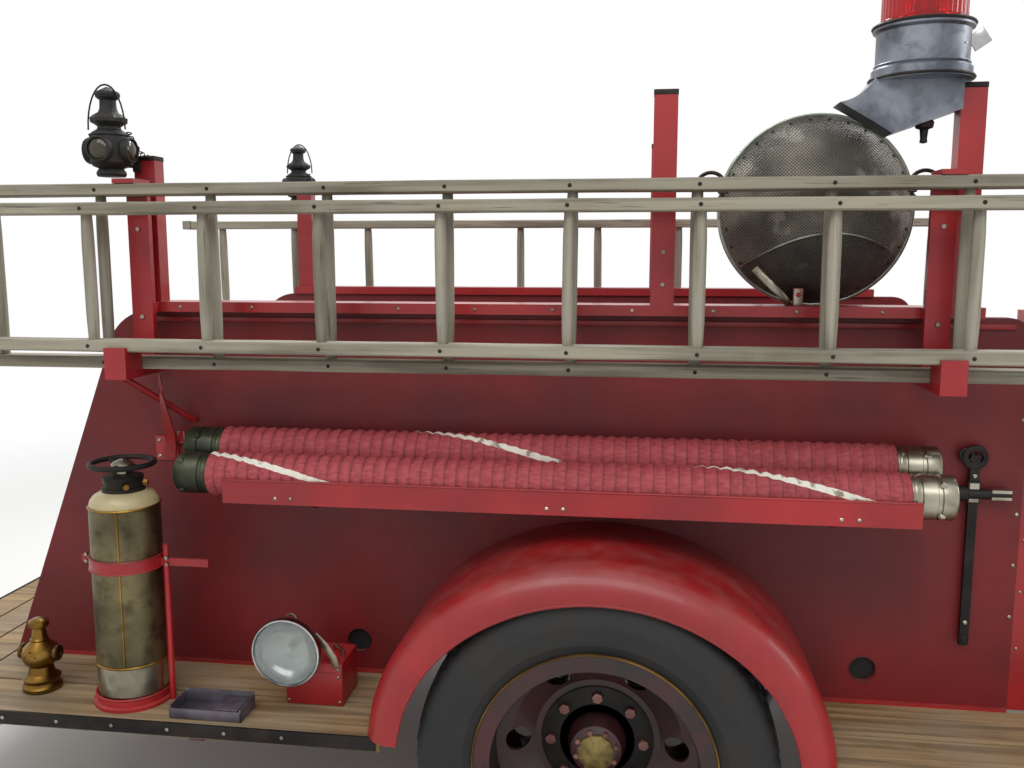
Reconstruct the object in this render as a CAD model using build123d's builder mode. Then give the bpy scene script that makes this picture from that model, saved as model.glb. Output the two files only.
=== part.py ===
"""Open-cab fire engine of the 1930s, built on a truck chassis.

Millimetres. +X is forward, +Y is the driver's left and +Z is up.
The origin is on the ground, under the middle of the whole vehicle.
The right side carries the extension ladder, the suction hoses and the hand gear.
"""

import os
from math import acos, atan2, cos, degrees, radians, sin

from build123d import *

os.makedirs("parts", exist_ok=True)

# Whole vehicle
WHEELBASE = 3990
REAR_OVERHANG = 2060
FRONT_OVERHANG = 750
OVERALL_HALF = 965

# Lengths of the front end, back from the front axle to the front of the hose body
GRILLE_SETBACK = 140
HOOD_LENGTH = 1250
COWL_LENGTH = 260
FOOTWELL = 400
SEAT_DEPTH = 540
PUMP_LENGTH = 362

GRILLE_X = WHEELBASE - GRILLE_SETBACK
FIREWALL_X = GRILLE_X - HOOD_LENGTH
DASH_X = FIREWALL_X - COWL_LENGTH
SEAT_FRONT = DASH_X - FOOTWELL
CAB_BACK = SEAT_FRONT - SEAT_DEPTH
BODY_FRONT = CAB_BACK - PUMP_LENGTH

REAR_X = REAR_OVERHANG - (REAR_OVERHANG + WHEELBASE + FRONT_OVERHANG) / 2
FRONT_X = REAR_X + WHEELBASE
TAIL_X = REAR_X - REAR_OVERHANG
NOSE_X = FRONT_X + FRONT_OVERHANG

# Clearances
SEAT_GAP = 0.3
BEARING_GAP = 0.05
SHEET = 4

# Wheels and tyres
TYRE_R = 432
TYRE_HALF = 85
BULGE_R = 358
TREAD_HALF = 62
RIM_SEAT_R = 254
RIM_FLANGE_R = 292
RIM_HALF = 76
RIM_WALL = 6
RIM_FLANGE = 8
TWIN_MID_Y = 775
TWIN_PITCH = 190
FRONT_WHEEL_Y = 780
KINGPIN_Y = 690
KINGPIN_R = 14
DISC = 10
HAND_HOLE_R = 30
HAND_HOLES = 6
REAR_SPINDLE_R = 35
FRONT_SPINDLE_R = 22
REAR_DRUM_R = 150
FRONT_DRUM_R = 150
DRUM_WALL = 12

# Chassis frame and springs
FRAME_TOP = 762
RAIL_HEIGHT = 152
RAIL_FLANGE = 64
RAIL_WALL = 7
RAIL_OUTER_Y = 430
FRAME_REAR = -1690
FRAME_FRONT = WHEELBASE + 530
LEAF_WIDTH = 57
LEAF = 8
LEAVES = 8
SPRING_CAMBER = 44
REAR_SPRING_HALF = 560
FRONT_SPRING_HALF = 480
SPRING_EYE_R = 18
AXLE_TUBE_R = 48

# Hose body
BODY_HALF = 570
BODY_WALL = 38
BODY_REAR_TOP = -1345
BODY_REAR_LOW = -1726
BODY_LOW = 475
BODY_TOP = 1481
BODY_REAR_ROUND = 130
BODY_FRONT_ROUND = 60
BED_FLOOR = 950
BED_BOARD = 22
CAP_HEIGHT = 27
CAP_PROUD = 50
CAP_WIDTH = 100
CAP_REAR = -1250
CAP_FRONT = BODY_FRONT - 132
PANEL_HOLE_R = 32
PANEL_HOLE_X = 678
PANEL_HOLE_Z = 562

# Posts on the cap rail
POST_WIDTH = 58
POST_DEPTH = 48
POST_TOP = 2030
REAR_POST_TOP = 1890
REAR_POST_X = -1222
FRONT_POST_X = BODY_FRONT - 189
MID_POST_X = FRONT_POST_X - 709

# Fenders
SKIRT = 100
REAR_FENDER_HALF = 560
REAR_FENDER_RISE = 500
REAR_FLANK_R = 465
REAR_LIP = 84
REAR_SHOULDER_R = 76
FRONT_FENDER_FRONT = 570
FRONT_FENDER_REAR = 640
FRONT_FENDER_TAIL = 900
FRONT_FENDER_TOP = 990
FRONT_FENDER_IN_Y = 440
FRONT_LIP_HALF = 494
FRONT_LIP_RISE = 482
FRONT_FLANK_R = 470
FRONT_SHOULDER_R = 66

# Running boards and tailboard
BOARD_TOP = 470
BOARD = 35
PLANK_GAP = 8
PLANKS = 2
BOARD_OUT_Y = 930
TAIL_PLANKS = 3

# Ladders
RUNG_PITCH = 305
RUNGS = 10
FIRST_RUNG = -1610
LADDER_TAIL = 160
RUNG_R = 16
LADDER_RAIL = 31
LADDER_DEPTH = 66
LADDER_LOW = 1338
BED_LADDER_HEIGHT = 476
FLY_STEP = 50
LADDER_SPLIT = 4
LADDER_STANDOFF = 40
BRACKET_WIDTH = 58
BRACKET = 18
REAR_BRACKET_X = -1226
FRONT_BRACKET_X = BODY_FRONT - 252

# Suction hoses and their tray
HOSE_R = 58
COUPLING_R = 54
HOSE_REAR = -1110
HOSE_FRONT = BODY_FRONT - 217
COUPLING = 104
TRAY_REAR = -957
TRAY_FRONT = BODY_FRONT - 298
TRAY_LOW = 1008
TRAY_LIP = 60
HOSE_STEP = 46

# Hand gear on the right side
BASKET_R = 235
BASKET_DEPTH = 118
BASKET_X = BODY_FRONT - 523
BASKET_SHEET = 5
EXT_X = -1226
EXT_Y = -800
EXT_R = 89
EXT_SHOULDER = 1030
EXT_TOP = 1115
LAMP_BOX_X = -735
LAMP_X = -781
LAMP_Z = 640
LAMP_R = 90
NOZZLE_X = -1500
WRENCH_X = BODY_FRONT - 123
LANTERN_X = -1280
LANTERN_LOW = 1834
LANTERN_R = 52

# Beacon
BEACON_X = FRONT_POST_X - 116
BEACON_BASE_R = 112
BEACON_BASE_LOW = 2048
BEACON_BASE = 116
BEACON_LENS_R = 98
BEACON_LENS = 165

# Pump compartment, cab, hood and nose
PUMP_TOP = 1290
CAB_HALF = 570
CAB_WALL = 28
CAB_FLOOR = 806
SEAT_BOX_TOP = 1080
COWL_LOW = 800
HOOD_LOW = 870
HOOD_SHEET = 4
HOOD_HINGE_GAP = 6
STEER_Y = 330
STEER_RIM_R = 215


def at(distance):
    """X of a place that is given as its distance ahead of the rear axle."""
    return REAR_X + distance


def save(piece, name):
    """Name a finished piece and write it."""
    piece.part.label = name
    export_step(piece.part, f"parts/{name}.step")


def side_plane(y):
    """Plane seen from the right side, X across and Z up; it extrudes towards -Y."""
    return Plane.XZ.offset(-y)


def block(x, y, z, mode=Mode.ADD):
    """Box between two limits on each axis."""
    with Locations(((x[0] + x[1]) / 2, (y[0] + y[1]) / 2, (z[0] + z[1]) / 2)):
        Box(x[1] - x[0], abs(y[1] - y[0]), z[1] - z[0], mode=mode)


def rod(start, end, radius, mode=Mode.ADD):
    """Round bar from one point to another."""
    span = Vector(*end) - Vector(*start)
    with BuildSketch(Plane(origin=start, z_dir=span)) as section:
        Circle(radius)
    extrude(section.sketch, amount=span.length, mode=mode)


def turned_y(outline, x, z, mode=Mode.ADD):
    """Turned form about a line along Y; the outline holds (y, radius) points."""
    with BuildSketch(Plane.YZ.offset(x)) as half_section:
        with BuildLine():
            Polyline(*[(y, z + radius) for y, radius in outline], close=True)
        make_face()
    revolve(half_section.sketch, axis=Axis((x, 0, z), (0, 1, 0)), mode=mode)


def turned_x(outline, y, z, mode=Mode.ADD):
    """Turned form about a line along X; the outline holds (x, radius) points."""
    with BuildSketch(side_plane(y)) as half_section:
        with BuildLine():
            Polyline(*[(x, z + radius) for x, radius in outline], close=True)
        make_face()
    revolve(half_section.sketch, axis=Axis((0, y, z), (1, 0, 0)), mode=mode)


def turned_z(outline, x, y, mode=Mode.ADD):
    """Turned form about an upright line; the outline holds (radius, z) points."""
    with BuildSketch(side_plane(y)) as half_section:
        with BuildLine():
            Polyline(*[(x + radius, z) for radius, z in outline], close=True)
        make_face()
    revolve(half_section.sketch, axis=Axis((x, y, 0), (0, 0, 1)), mode=mode)


def arch(middle_x, half, rise, flank_r, inset=0, mode=Mode.ADD):
    """Wheel arch of three arcs over straight sides, drawn inside its own line by the inset."""
    crown_r = ((half - flank_r) ** 2 + rise ** 2 - flank_r ** 2) / (2 * (rise - flank_r))
    turn = degrees(atan2(crown_r - rise, half - flank_r))
    with BuildLine() as outline:
        front = CenterArc((middle_x + half - flank_r, TYRE_R), flank_r - inset, 0, turn)
        CenterArc((middle_x, TYRE_R + rise - crown_r), crown_r - inset, turn, 180 - 2 * turn)
        rear = CenterArc((middle_x - half + flank_r, TYRE_R), flank_r - inset, 180 - turn, turn)
        Polyline(rear @ 1, (middle_x - half + inset, TYRE_R - SKIRT), (middle_x + half - inset, TYRE_R - SKIRT),
                 front @ 0)
    make_face(outline.edges(), mode=mode)


def hoop(plane, radius, wire):
    """Ring of eight-sided bar round a plane's origin."""
    with BuildSketch(Plane(origin=plane.origin, x_dir=plane.x_dir, z_dir=plane.y_dir)) as bar:
        with Locations((radius, 0)):
            RegularPolygon(wire, 8)
    revolve(bar.sketch, axis=Axis(plane.origin, plane.z_dir))


# Ladder frame: channel rails, cross-members between them, and arms under the boards
RAIL_LOW = FRAME_TOP - RAIL_HEIGHT
RAIL_MID_Y = RAIL_OUTER_Y - RAIL_FLANGE / 2
CROSS_MEMBERS = (FRAME_REAR + 140, -REAR_SPRING_HALF - 140, REAR_SPRING_HALF + 60, BODY_FRONT - 38, GRILLE_X + 50)
CROSS_WIDTH = 70
BOARD_ARMS = (FRAME_REAR + 130, -REAR_FENDER_HALF - 440, REAR_FENDER_HALF + 200, CAB_BACK + 100, DASH_X - 40,
              WHEELBASE - 1030)
ARM_WIDTH = 40
ARM = 12
BOARD_LOW = BOARD_TOP - BOARD

with BuildPart() as frame_rails:
    for side in (1, -1):
        rail_y = (side * (RAIL_OUTER_Y - RAIL_FLANGE), side * RAIL_OUTER_Y)
        hollow_y = (rail_y[0], side * (RAIL_OUTER_Y - RAIL_WALL))
        block((at(FRAME_REAR), at(FRAME_FRONT)), rail_y, (RAIL_LOW, FRAME_TOP))
        block((at(FRAME_REAR), at(FRAME_FRONT)), hollow_y, (RAIL_LOW + RAIL_WALL, FRAME_TOP - RAIL_WALL),
              mode=Mode.SUBTRACT)
save(frame_rails, "frame_rails")

with BuildPart() as cross_members:
    member_half = RAIL_OUTER_Y - RAIL_WALL - SEAT_GAP
    member_z = (RAIL_LOW + RAIL_WALL + SEAT_GAP, FRAME_TOP - RAIL_WALL - SEAT_GAP)
    web_z = (member_z[0] + RAIL_WALL, member_z[1] - RAIL_WALL)
    for member in CROSS_MEMBERS:
        member_x = (at(member) - CROSS_WIDTH / 2, at(member) + CROSS_WIDTH / 2)
        block(member_x, (-member_half, member_half), member_z)
        block((member_x[0] + RAIL_WALL, member_x[1]), (-member_half, member_half), web_z, mode=Mode.SUBTRACT)
save(cross_members, "cross_members")

with BuildPart() as board_arms:
    arm_z = (BOARD_LOW - ARM, BOARD_LOW)
    for side in (1, -1):
        arm_y = side * (RAIL_OUTER_Y + SEAT_GAP)
        for arm in BOARD_ARMS:
            arm_x = (at(arm) - ARM_WIDTH / 2, at(arm) + ARM_WIDTH / 2)
            block(arm_x, (arm_y, arm_y + side * ARM), (arm_z[0], FRAME_TOP))
            block(arm_x, (arm_y, side * (BOARD_OUT_Y - ARM)), arm_z)
        tail_y = (side * (RAIL_MID_Y - ARM_WIDTH / 2), side * (RAIL_MID_Y + ARM_WIDTH / 2))
        tail_x = at(FRAME_REAR) - SEAT_GAP
        block((tail_x - ARM, tail_x), tail_y, (arm_z[0], FRAME_TOP))
        block((TAIL_X + ARM, tail_x), tail_y, arm_z)
save(board_arms, "board_arms")

# Bumper bar with swept ends on two irons
BUMPER = 12
BUMPER_HEIGHT = 100
BUMPER_LOW = 640
BUMPER_HALF = 800
BUMPER_SWEEP = 90
BUMPER_STRAIGHT = 520
with BuildPart() as front_bumper:
    with BuildSketch(Plane.XY.offset(BUMPER_LOW)) as bumper_plan:
        with BuildLine():
            nose = NOSE_X - BUMPER
            outer = Polyline((nose - BUMPER_SWEEP, -BUMPER_HALF), (nose, -BUMPER_STRAIGHT),
                             (nose, BUMPER_STRAIGHT), (nose - BUMPER_SWEEP, BUMPER_HALF))
            offset(amount=BUMPER, side=Side.RIGHT)
        make_face()
    extrude(amount=BUMPER_HEIGHT)
    for side in (1, -1):
        iron_y = (side * (RAIL_OUTER_Y - RAIL_WALL), side * (RAIL_OUTER_Y + ARM))
        iron_z = (BUMPER_LOW + 15, BUMPER_LOW + BUMPER_HEIGHT - 15)
        block((at(FRAME_FRONT), NOSE_X - BUMPER), iron_y, iron_z)
save(front_bumper, "front_bumper")

# Front axle beam with a boss for each kingpin
BEAM_DEPTH = 62
BEAM_WIDTH = 56
BEAM_LOW = TYRE_R - BEAM_DEPTH - 20
BEAM_WEB = 16
BEAM_FLANGE = 14
BEAM_DROP_Y = RAIL_OUTER_Y + 30
BOSS_R = 27
BOSS_HALF = 42
SPRING_PAD = 90
SPRING_PAD_WIDTH = 64
with BuildPart() as front_axle:
    with BuildSketch(Plane.YZ.offset(FRONT_X - BEAM_WIDTH / 2)):
        with BuildLine():
            Polyline((-KINGPIN_Y, TYRE_R + BEAM_DEPTH / 2), (-BEAM_DROP_Y, BEAM_LOW + BEAM_DEPTH),
                     (BEAM_DROP_Y, BEAM_LOW + BEAM_DEPTH), (KINGPIN_Y, TYRE_R + BEAM_DEPTH / 2),
                     (KINGPIN_Y, TYRE_R - BEAM_DEPTH / 2), (BEAM_DROP_Y, BEAM_LOW),
                     (-BEAM_DROP_Y, BEAM_LOW), (-KINGPIN_Y, TYRE_R - BEAM_DEPTH / 2), close=True)
        make_face()
    extrude(amount=BEAM_WIDTH)
    pocket_z = (BEAM_LOW + BEAM_FLANGE, BEAM_LOW + BEAM_DEPTH - BEAM_FLANGE)
    for pocket_x in ((-BEAM_WIDTH / 2, -BEAM_WEB / 2), (BEAM_WEB / 2, BEAM_WIDTH / 2)):
        block((FRONT_X + pocket_x[0], FRONT_X + pocket_x[1]), (-BEAM_DROP_Y, BEAM_DROP_Y), pocket_z,
              mode=Mode.SUBTRACT)
    for side in (1, -1):
        with Locations((FRONT_X, side * KINGPIN_Y, TYRE_R)):
            Box(3 * BOSS_R, 2 * BOSS_R + 2, 2 * BOSS_HALF + 2, mode=Mode.SUBTRACT)
            Cylinder(BOSS_R, 2 * BOSS_HALF)
        neck_y = (side * (KINGPIN_Y - 2 * BOSS_R), side * KINGPIN_Y)
        block((FRONT_X - BEAM_WIDTH / 2, FRONT_X + BEAM_WIDTH / 2), neck_y,
              (TYRE_R - BEAM_DEPTH / 2, TYRE_R + BEAM_DEPTH / 2))
        with Locations((FRONT_X, side * KINGPIN_Y, TYRE_R)):
            Cylinder(KINGPIN_R + BEARING_GAP, 2 * BOSS_HALF, mode=Mode.SUBTRACT)
        pad_y = (side * (RAIL_MID_Y - SPRING_PAD_WIDTH / 2), side * (RAIL_MID_Y + SPRING_PAD_WIDTH / 2))
        block((FRONT_X - SPRING_PAD / 2, FRONT_X + SPRING_PAD / 2), pad_y, (BEAM_LOW + BEAM_FLANGE, TYRE_R))
save(front_axle, "front_axle")

# Rear axle with its banjo housing, tubes, backing plates and spindles
BANJO_R = 165
BANJO_HALF = 70
BANJO_OUTLINE = ((-130, 0), (-130, 60), (-BANJO_HALF, 145), (-BANJO_HALF, BANJO_R), (BANJO_HALF, BANJO_R),
                 (BANJO_HALF, 110), (170, 60), (230, 55), (230, 0))
PINION_END = REAR_X + BANJO_OUTLINE[-1][0]
REAR_PLATE_Y = 626
REAR_PAD_TOP = TYRE_R + AXLE_TUBE_R + 6
HUB_END_Y = 815
with BuildPart() as rear_axle:
    turned_x([(REAR_X + reach, radius) for reach, radius in BANJO_OUTLINE], 0, TYRE_R)
    for side in (1, -1):
        turned_y([(0, 0), (0, 90), (side * 150, 70), (side * 300, AXLE_TUBE_R),
                  (side * REAR_PLATE_Y, AXLE_TUBE_R), (side * REAR_PLATE_Y, REAR_DRUM_R - DRUM_WALL - 5),
                  (side * (REAR_PLATE_Y + 8), REAR_DRUM_R - DRUM_WALL - 5),
                  (side * (REAR_PLATE_Y + 8), REAR_SPINDLE_R),
                  (side * (HUB_END_Y - SEAT_GAP), REAR_SPINDLE_R), (side * (HUB_END_Y - SEAT_GAP), 0)],
                 REAR_X, TYRE_R)
        pad_y = (side * (RAIL_MID_Y - SPRING_PAD_WIDTH / 2), side * (RAIL_MID_Y + SPRING_PAD_WIDTH / 2))
        block((REAR_X - SPRING_PAD / 2, REAR_X + SPRING_PAD / 2), pad_y, (TYRE_R, REAR_PAD_TOP))
save(rear_axle, "rear_axle")

# Semi-elliptic springs: (axle X, pad height, half length)
SPRINGS = (
    (FRONT_X, TYRE_R, FRONT_SPRING_HALF),
    (REAR_X, REAR_PAD_TOP, REAR_SPRING_HALF),
)
with BuildPart() as leaf_springs:
    for axle_x, pad_z, half_length in SPRINGS:
        pack_top = pad_z + LEAVES * LEAF
        spring_r = (half_length ** 2 + SPRING_CAMBER ** 2) / (2 * SPRING_CAMBER)
        curve_z = pack_top + spring_r
        half_angle = degrees(atan2(half_length, spring_r - SPRING_CAMBER))
        for side in (1, -1):
            with BuildSketch(side_plane(side * RAIL_MID_Y + LEAF_WIDTH / 2)):
                for leaf in range(LEAVES):
                    leaf_angle = half_angle * (1 - leaf / (LEAVES + 1))
                    with BuildLine():
                        leaf_r = spring_r + leaf * LEAF
                        top = CenterArc((axle_x, curve_z), leaf_r, 270 - leaf_angle, 2 * leaf_angle)
                        low = CenterArc((axle_x, curve_z), leaf_r + LEAF, 270 - leaf_angle, 2 * leaf_angle)
                        Line(top @ 0, low @ 0)
                        Line(top @ 1, low @ 1)
                    make_face()
            extrude(amount=LEAF_WIDTH)
            for end in (1, -1):
                eye = (axle_x + end * half_length, side * RAIL_MID_Y, pack_top + SPRING_CAMBER - 6)
                with Locations(Location(eye, (90, 0, 0))):
                    Cylinder(SPRING_EYE_R, LEAF_WIDTH)
                block((eye[0] - 12, eye[0] + 12), (side * (RAIL_MID_Y - 24), side * (RAIL_MID_Y + 24)),
                      (eye[2], RAIL_LOW))
save(leaf_springs, "leaf_springs")

# Engine as one plain block, with its gearbox and the propeller shaft back to the axle
ENGINE_REAR = FIREWALL_X + 100
ENGINE_FRONT = GRILLE_X - 210
ENGINE_HALF = 215
ENGINE_LOW = 560
ENGINE_TOP = 1120
ENGINE_CHAMFER = 50
FAN_HALF = 40
FAN_Z = 910
GEARBOX = 580
GEARBOX_REAR = ENGINE_REAR - GEARBOX
GEARBOX_OUTLINE = ((0, 0), (0, 60), (60, 110), (420, 120), (GEARBOX, 160), (GEARBOX, 0))
SHAFT_Z = 640
SHAFT_R = 38
SHAFT_FLANGE = 14
SHAFT_JOINT_R = 56
SHAFT_JOINT_IN = 80
with BuildPart() as drivetrain:
    block((at(ENGINE_REAR), at(ENGINE_FRONT)), (-ENGINE_HALF, ENGINE_HALF), (ENGINE_LOW, ENGINE_TOP))
    chamfer(drivetrain.edges().filter_by(Axis.X), ENGINE_CHAMFER)
    block((at(ENGINE_FRONT), at(GRILLE_X) - 130), (-FAN_HALF, FAN_HALF), (FAN_Z - FAN_HALF, FAN_Z + FAN_HALF))
    turned_x([(at(GEARBOX_REAR) + reach, radius) for reach, radius in GEARBOX_OUTLINE], 0, SHAFT_Z)
    flange_x = PINION_END + SEAT_GAP
    turned_x([(flange_x, 0), (flange_x, SHAFT_R + 10), (flange_x + SHAFT_FLANGE, SHAFT_R + 10),
              (flange_x + SHAFT_FLANGE, 0)], 0, TYRE_R)
    shaft_start = Vector(flange_x + SHAFT_FLANGE / 2, 0, TYRE_R)
    shaft_end = Vector(at(GEARBOX_REAR) + SHAFT_FLANGE, 0, SHAFT_Z)
    shaft_way = (shaft_end - shaft_start).normalized()
    rod(shaft_start, shaft_end, SHAFT_R)
    with Locations(shaft_start + shaft_way * SHAFT_JOINT_IN, shaft_end - shaft_way * SHAFT_JOINT_IN):
        Sphere(SHAFT_JOINT_R)
save(drivetrain, "drivetrain")

# Exhaust pipe and silencer inside the left rail, from the engine's side
EXHAUST_Y = 330
EXHAUST_Z = 520
PIPE_R = 24
SILENCER_R = 80
DOWNPIPE_X = at(ENGINE_REAR + 20)
MANIFOLD = (at(ENGINE_REAR + 90), ENGINE_HALF, 650)
MANIFOLD_FLANGE = 28
ELBOW = 3
EXHAUST_OUTLINE = ((-1820, 0), (-1820, PIPE_R), (-1340, PIPE_R), (-1300, SILENCER_R), (-640, SILENCER_R),
                   (-600, PIPE_R), (0, PIPE_R), (0, 0))
HANGERS = (-1220, -720)
HANGER = 12
with BuildPart() as exhaust:
    turned_x([(DOWNPIPE_X + reach, radius) for reach, radius in EXHAUST_OUTLINE], EXHAUST_Y, EXHAUST_Z)
    flange_end = (MANIFOLD[0], MANIFOLD[1] + MANIFOLD_FLANGE, MANIFOLD[2])
    rod(MANIFOLD, flange_end, PIPE_R + 8)
    rod(flange_end, (DOWNPIPE_X, EXHAUST_Y, EXHAUST_Z), PIPE_R)
    with Locations((DOWNPIPE_X, EXHAUST_Y, EXHAUST_Z)):
        Sphere(PIPE_R + ELBOW)
    hanger_y = (RAIL_OUTER_Y - RAIL_FLANGE, RAIL_OUTER_Y - RAIL_FLANGE + HANGER)
    for hanger in HANGERS:
        block((DOWNPIPE_X + hanger - HANGER, DOWNPIPE_X + hanger + HANGER), hanger_y, (EXHAUST_Z, RAIL_LOW))
save(exhaust, "exhaust")

# Body sides: a panel with round upper corners, a slanting rear edge and a wheel arch
BODY_SLANT = (BODY_REAR_TOP - BODY_REAR_LOW) / (BODY_TOP - BODY_LOW)
ARCH_INSET = 12
with BuildPart() as body_sides:
    for side in (1, -1):
        start_y = max(side * BODY_HALF, side * (BODY_HALF - BODY_WALL))
        with BuildSketch(side_plane(start_y)) as panel:
            with BuildLine():
                FilletPolyline((at(BODY_FRONT), BODY_LOW), (at(BODY_FRONT), BODY_TOP),
                               (at(BODY_REAR_TOP), BODY_TOP), (at(BODY_REAR_LOW), BODY_LOW),
                               radius=[BODY_FRONT_ROUND, BODY_REAR_ROUND])
                Line((at(BODY_REAR_LOW), BODY_LOW), (at(BODY_FRONT), BODY_LOW))
            make_face()
            arch(REAR_X, REAR_FENDER_HALF, REAR_FENDER_RISE, REAR_FLANK_R, ARCH_INSET, mode=Mode.SUBTRACT)
            for end in (1, -1):
                with Locations((REAR_X + end * PANEL_HOLE_X, PANEL_HOLE_Z)):
                    Circle(PANEL_HOLE_R, mode=Mode.SUBTRACT)
        extrude(panel.sketch, amount=BODY_WALL)
save(body_sides, "body_sides")

# Hose bed floor, sills, front bulkhead and slanting rear panel
BED_HALF = BODY_HALF - BODY_WALL
SILL_WIDTH = 70
BULKHEAD = 30
REAR_PANEL_TOP = 1180
NOTCH_GAP = 2
with BuildPart() as hose_bed:
    floor_rear = BODY_REAR_LOW + BODY_SLANT * (BED_FLOOR - BED_BOARD - BODY_LOW) + BULKHEAD / 2
    block((at(floor_rear), at(BODY_FRONT) - BULKHEAD), (-BED_HALF, BED_HALF), (BED_FLOOR - BED_BOARD, BED_FLOOR))
    block((at(BODY_FRONT) - BULKHEAD, at(BODY_FRONT)), (-BED_HALF, BED_HALF), (FRAME_TOP, BODY_TOP - 60))
    for side in (1, -1):
        sill_y = (side * (RAIL_MID_Y - SILL_WIDTH / 2), side * (RAIL_MID_Y + SILL_WIDTH / 2))
        block((at(floor_rear), at(BODY_FRONT) - BULKHEAD), sill_y, (FRAME_TOP, BED_FLOOR - BED_BOARD))
    with BuildSketch(side_plane(BED_HALF)):
        with BuildLine():
            low_x = at(BODY_REAR_LOW)
            top_x = at(BODY_REAR_TOP + BODY_SLANT * (REAR_PANEL_TOP - BODY_TOP))
            Polyline((low_x, BODY_LOW), (top_x, REAR_PANEL_TOP), (top_x + BULKHEAD, REAR_PANEL_TOP),
                     (low_x + BULKHEAD, BODY_LOW), close=True)
        make_face()
    extrude(amount=2 * BED_HALF)
    for side in (1, -1):
        notch_y = (side * (RAIL_OUTER_Y - RAIL_FLANGE - NOTCH_GAP), side * (RAIL_OUTER_Y + NOTCH_GAP))
        block((at(BODY_REAR_LOW), at(floor_rear)), notch_y, (BODY_LOW, FRAME_TOP), mode=Mode.SUBTRACT)
save(hose_bed, "hose_bed")

# Cap rails along the top of the body sides, with the upright posts
CAP_TOP = BODY_TOP + CAP_HEIGHT
CAP_OUT_Y = BODY_HALF + CAP_PROUD
POSTS = ((REAR_POST_X, REAR_POST_TOP), (MID_POST_X, POST_TOP), (FRONT_POST_X, POST_TOP))
with BuildPart() as cap_rails:
    for side in (1, -1):
        cap_y = (side * (CAP_OUT_Y - CAP_WIDTH), side * CAP_OUT_Y)
        block((at(CAP_REAR), at(CAP_FRONT)), cap_y, (BODY_TOP, CAP_TOP))
        post_y = (side * (CAP_OUT_Y - POST_DEPTH), side * CAP_OUT_Y)
        for post_x, post_top in POSTS:
            block((at(post_x) - POST_WIDTH / 2, at(post_x) + POST_WIDTH / 2), post_y, (CAP_TOP, post_top))
save(cap_rails, "cap_rails")

# Rear fenders: an arched crown with a round shoulder and a cut-back lip
def open_fender(inner_y, low):
    """Cut a fender open below a level, over the whole length of the vehicle."""
    block((TAIL_X, NOSE_X), (inner_y - SHEET, OVERALL_HALF + SHEET), (-TYRE_R, low), mode=Mode.SUBTRACT)


with BuildPart() as rear_fender_core:
    with BuildSketch(side_plane(OVERALL_HALF - SHEET)):
        arch(REAR_X, REAR_FENDER_HALF, REAR_FENDER_RISE, REAR_FLANK_R, SHEET)
    extrude(amount=OVERALL_HALF - BODY_HALF)
    fillet(rear_fender_core.faces().sort_by(Axis.Y)[-1].edges().sort_by(Axis.Z)[1:], REAR_SHOULDER_R - SHEET)

with BuildPart() as rear_fenders:
    with BuildSketch(side_plane(OVERALL_HALF)):
        arch(REAR_X, REAR_FENDER_HALF, REAR_FENDER_RISE, REAR_FLANK_R)
    extrude(amount=OVERALL_HALF - BODY_HALF)
    fillet(rear_fenders.faces().sort_by(Axis.Y)[-1].edges().sort_by(Axis.Z)[1:], REAR_SHOULDER_R)
    add(rear_fender_core.part, mode=Mode.SUBTRACT)
    with BuildSketch(side_plane(OVERALL_HALF + SHEET)):
        arch(REAR_X, REAR_FENDER_HALF, REAR_FENDER_RISE, REAR_FLANK_R, REAR_LIP)
    extrude(amount=REAR_SHOULDER_R, mode=Mode.SUBTRACT)
    open_fender(BODY_HALF, BOARD_TOP)
    mirror(about=Plane.XZ)
save(rear_fenders, "rear_fenders")


# Front fenders: an arch over the wheel that sweeps down to the running board
FENDER_FOOT = 180
FENDER_ROOT = 4
FENDER_SWEEP_ANGLE = 60


def front_fender_outline(inset):
    """Closed side outline of a front fender, drawn inside its own face by the inset."""
    root = BOARD_TOP - FENDER_ROOT
    low = BOARD_TOP - FENDER_FOOT - inset
    tail_x = FRONT_X - FRONT_FENDER_TAIL + inset
    front_r = FRONT_FENDER_FRONT
    rear_r = FRONT_FENDER_REAR
    with BuildLine() as outline:
        front = CenterArc((FRONT_X, FRONT_FENDER_TOP - front_r), front_r - inset, 0, 90)
        rear = CenterArc((FRONT_X, FRONT_FENDER_TOP - rear_r), rear_r - inset, 90, FENDER_SWEEP_ANGLE)
        sweep = TangentArc(rear @ 1, (tail_x, root - inset), tangent=rear % 1)
        Polyline(sweep @ 1, (tail_x, low), (FRONT_X + front_r - inset, low), front @ 0)
    make_face(outline.edges())


with BuildPart() as front_fender_core:
    with BuildSketch(side_plane(OVERALL_HALF - SHEET)):
        front_fender_outline(SHEET)
    extrude(amount=OVERALL_HALF - FRONT_FENDER_IN_Y - 2 * SHEET)
    fillet(front_fender_core.faces().sort_by(Axis.Y)[-1].edges(), FRONT_SHOULDER_R - SHEET)

with BuildPart() as front_fenders:
    with BuildSketch(side_plane(OVERALL_HALF)):
        front_fender_outline(0)
    extrude(amount=OVERALL_HALF - FRONT_FENDER_IN_Y)
    fillet(front_fenders.faces().sort_by(Axis.Y)[-1].edges(), FRONT_SHOULDER_R)
    add(front_fender_core.part, mode=Mode.SUBTRACT)
    with BuildSketch(side_plane(OVERALL_HALF + SHEET)):
        arch(FRONT_X, FRONT_LIP_HALF, FRONT_LIP_RISE, FRONT_FLANK_R)
    extrude(amount=FRONT_SHOULDER_R, mode=Mode.SUBTRACT)
    open_fender(FRONT_FENDER_IN_Y, BOARD_TOP)
    apron_y = (FRONT_FENDER_IN_Y - SHEET, FRONT_FENDER_IN_Y + 2 * SHEET)
    block((FRONT_X - FRONT_LIP_HALF, NOSE_X), apron_y, (0, RAIL_LOW + RAIL_HEIGHT / 2), mode=Mode.SUBTRACT)
    mirror(about=Plane.XZ)
save(front_fenders, "front_fenders")

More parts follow.
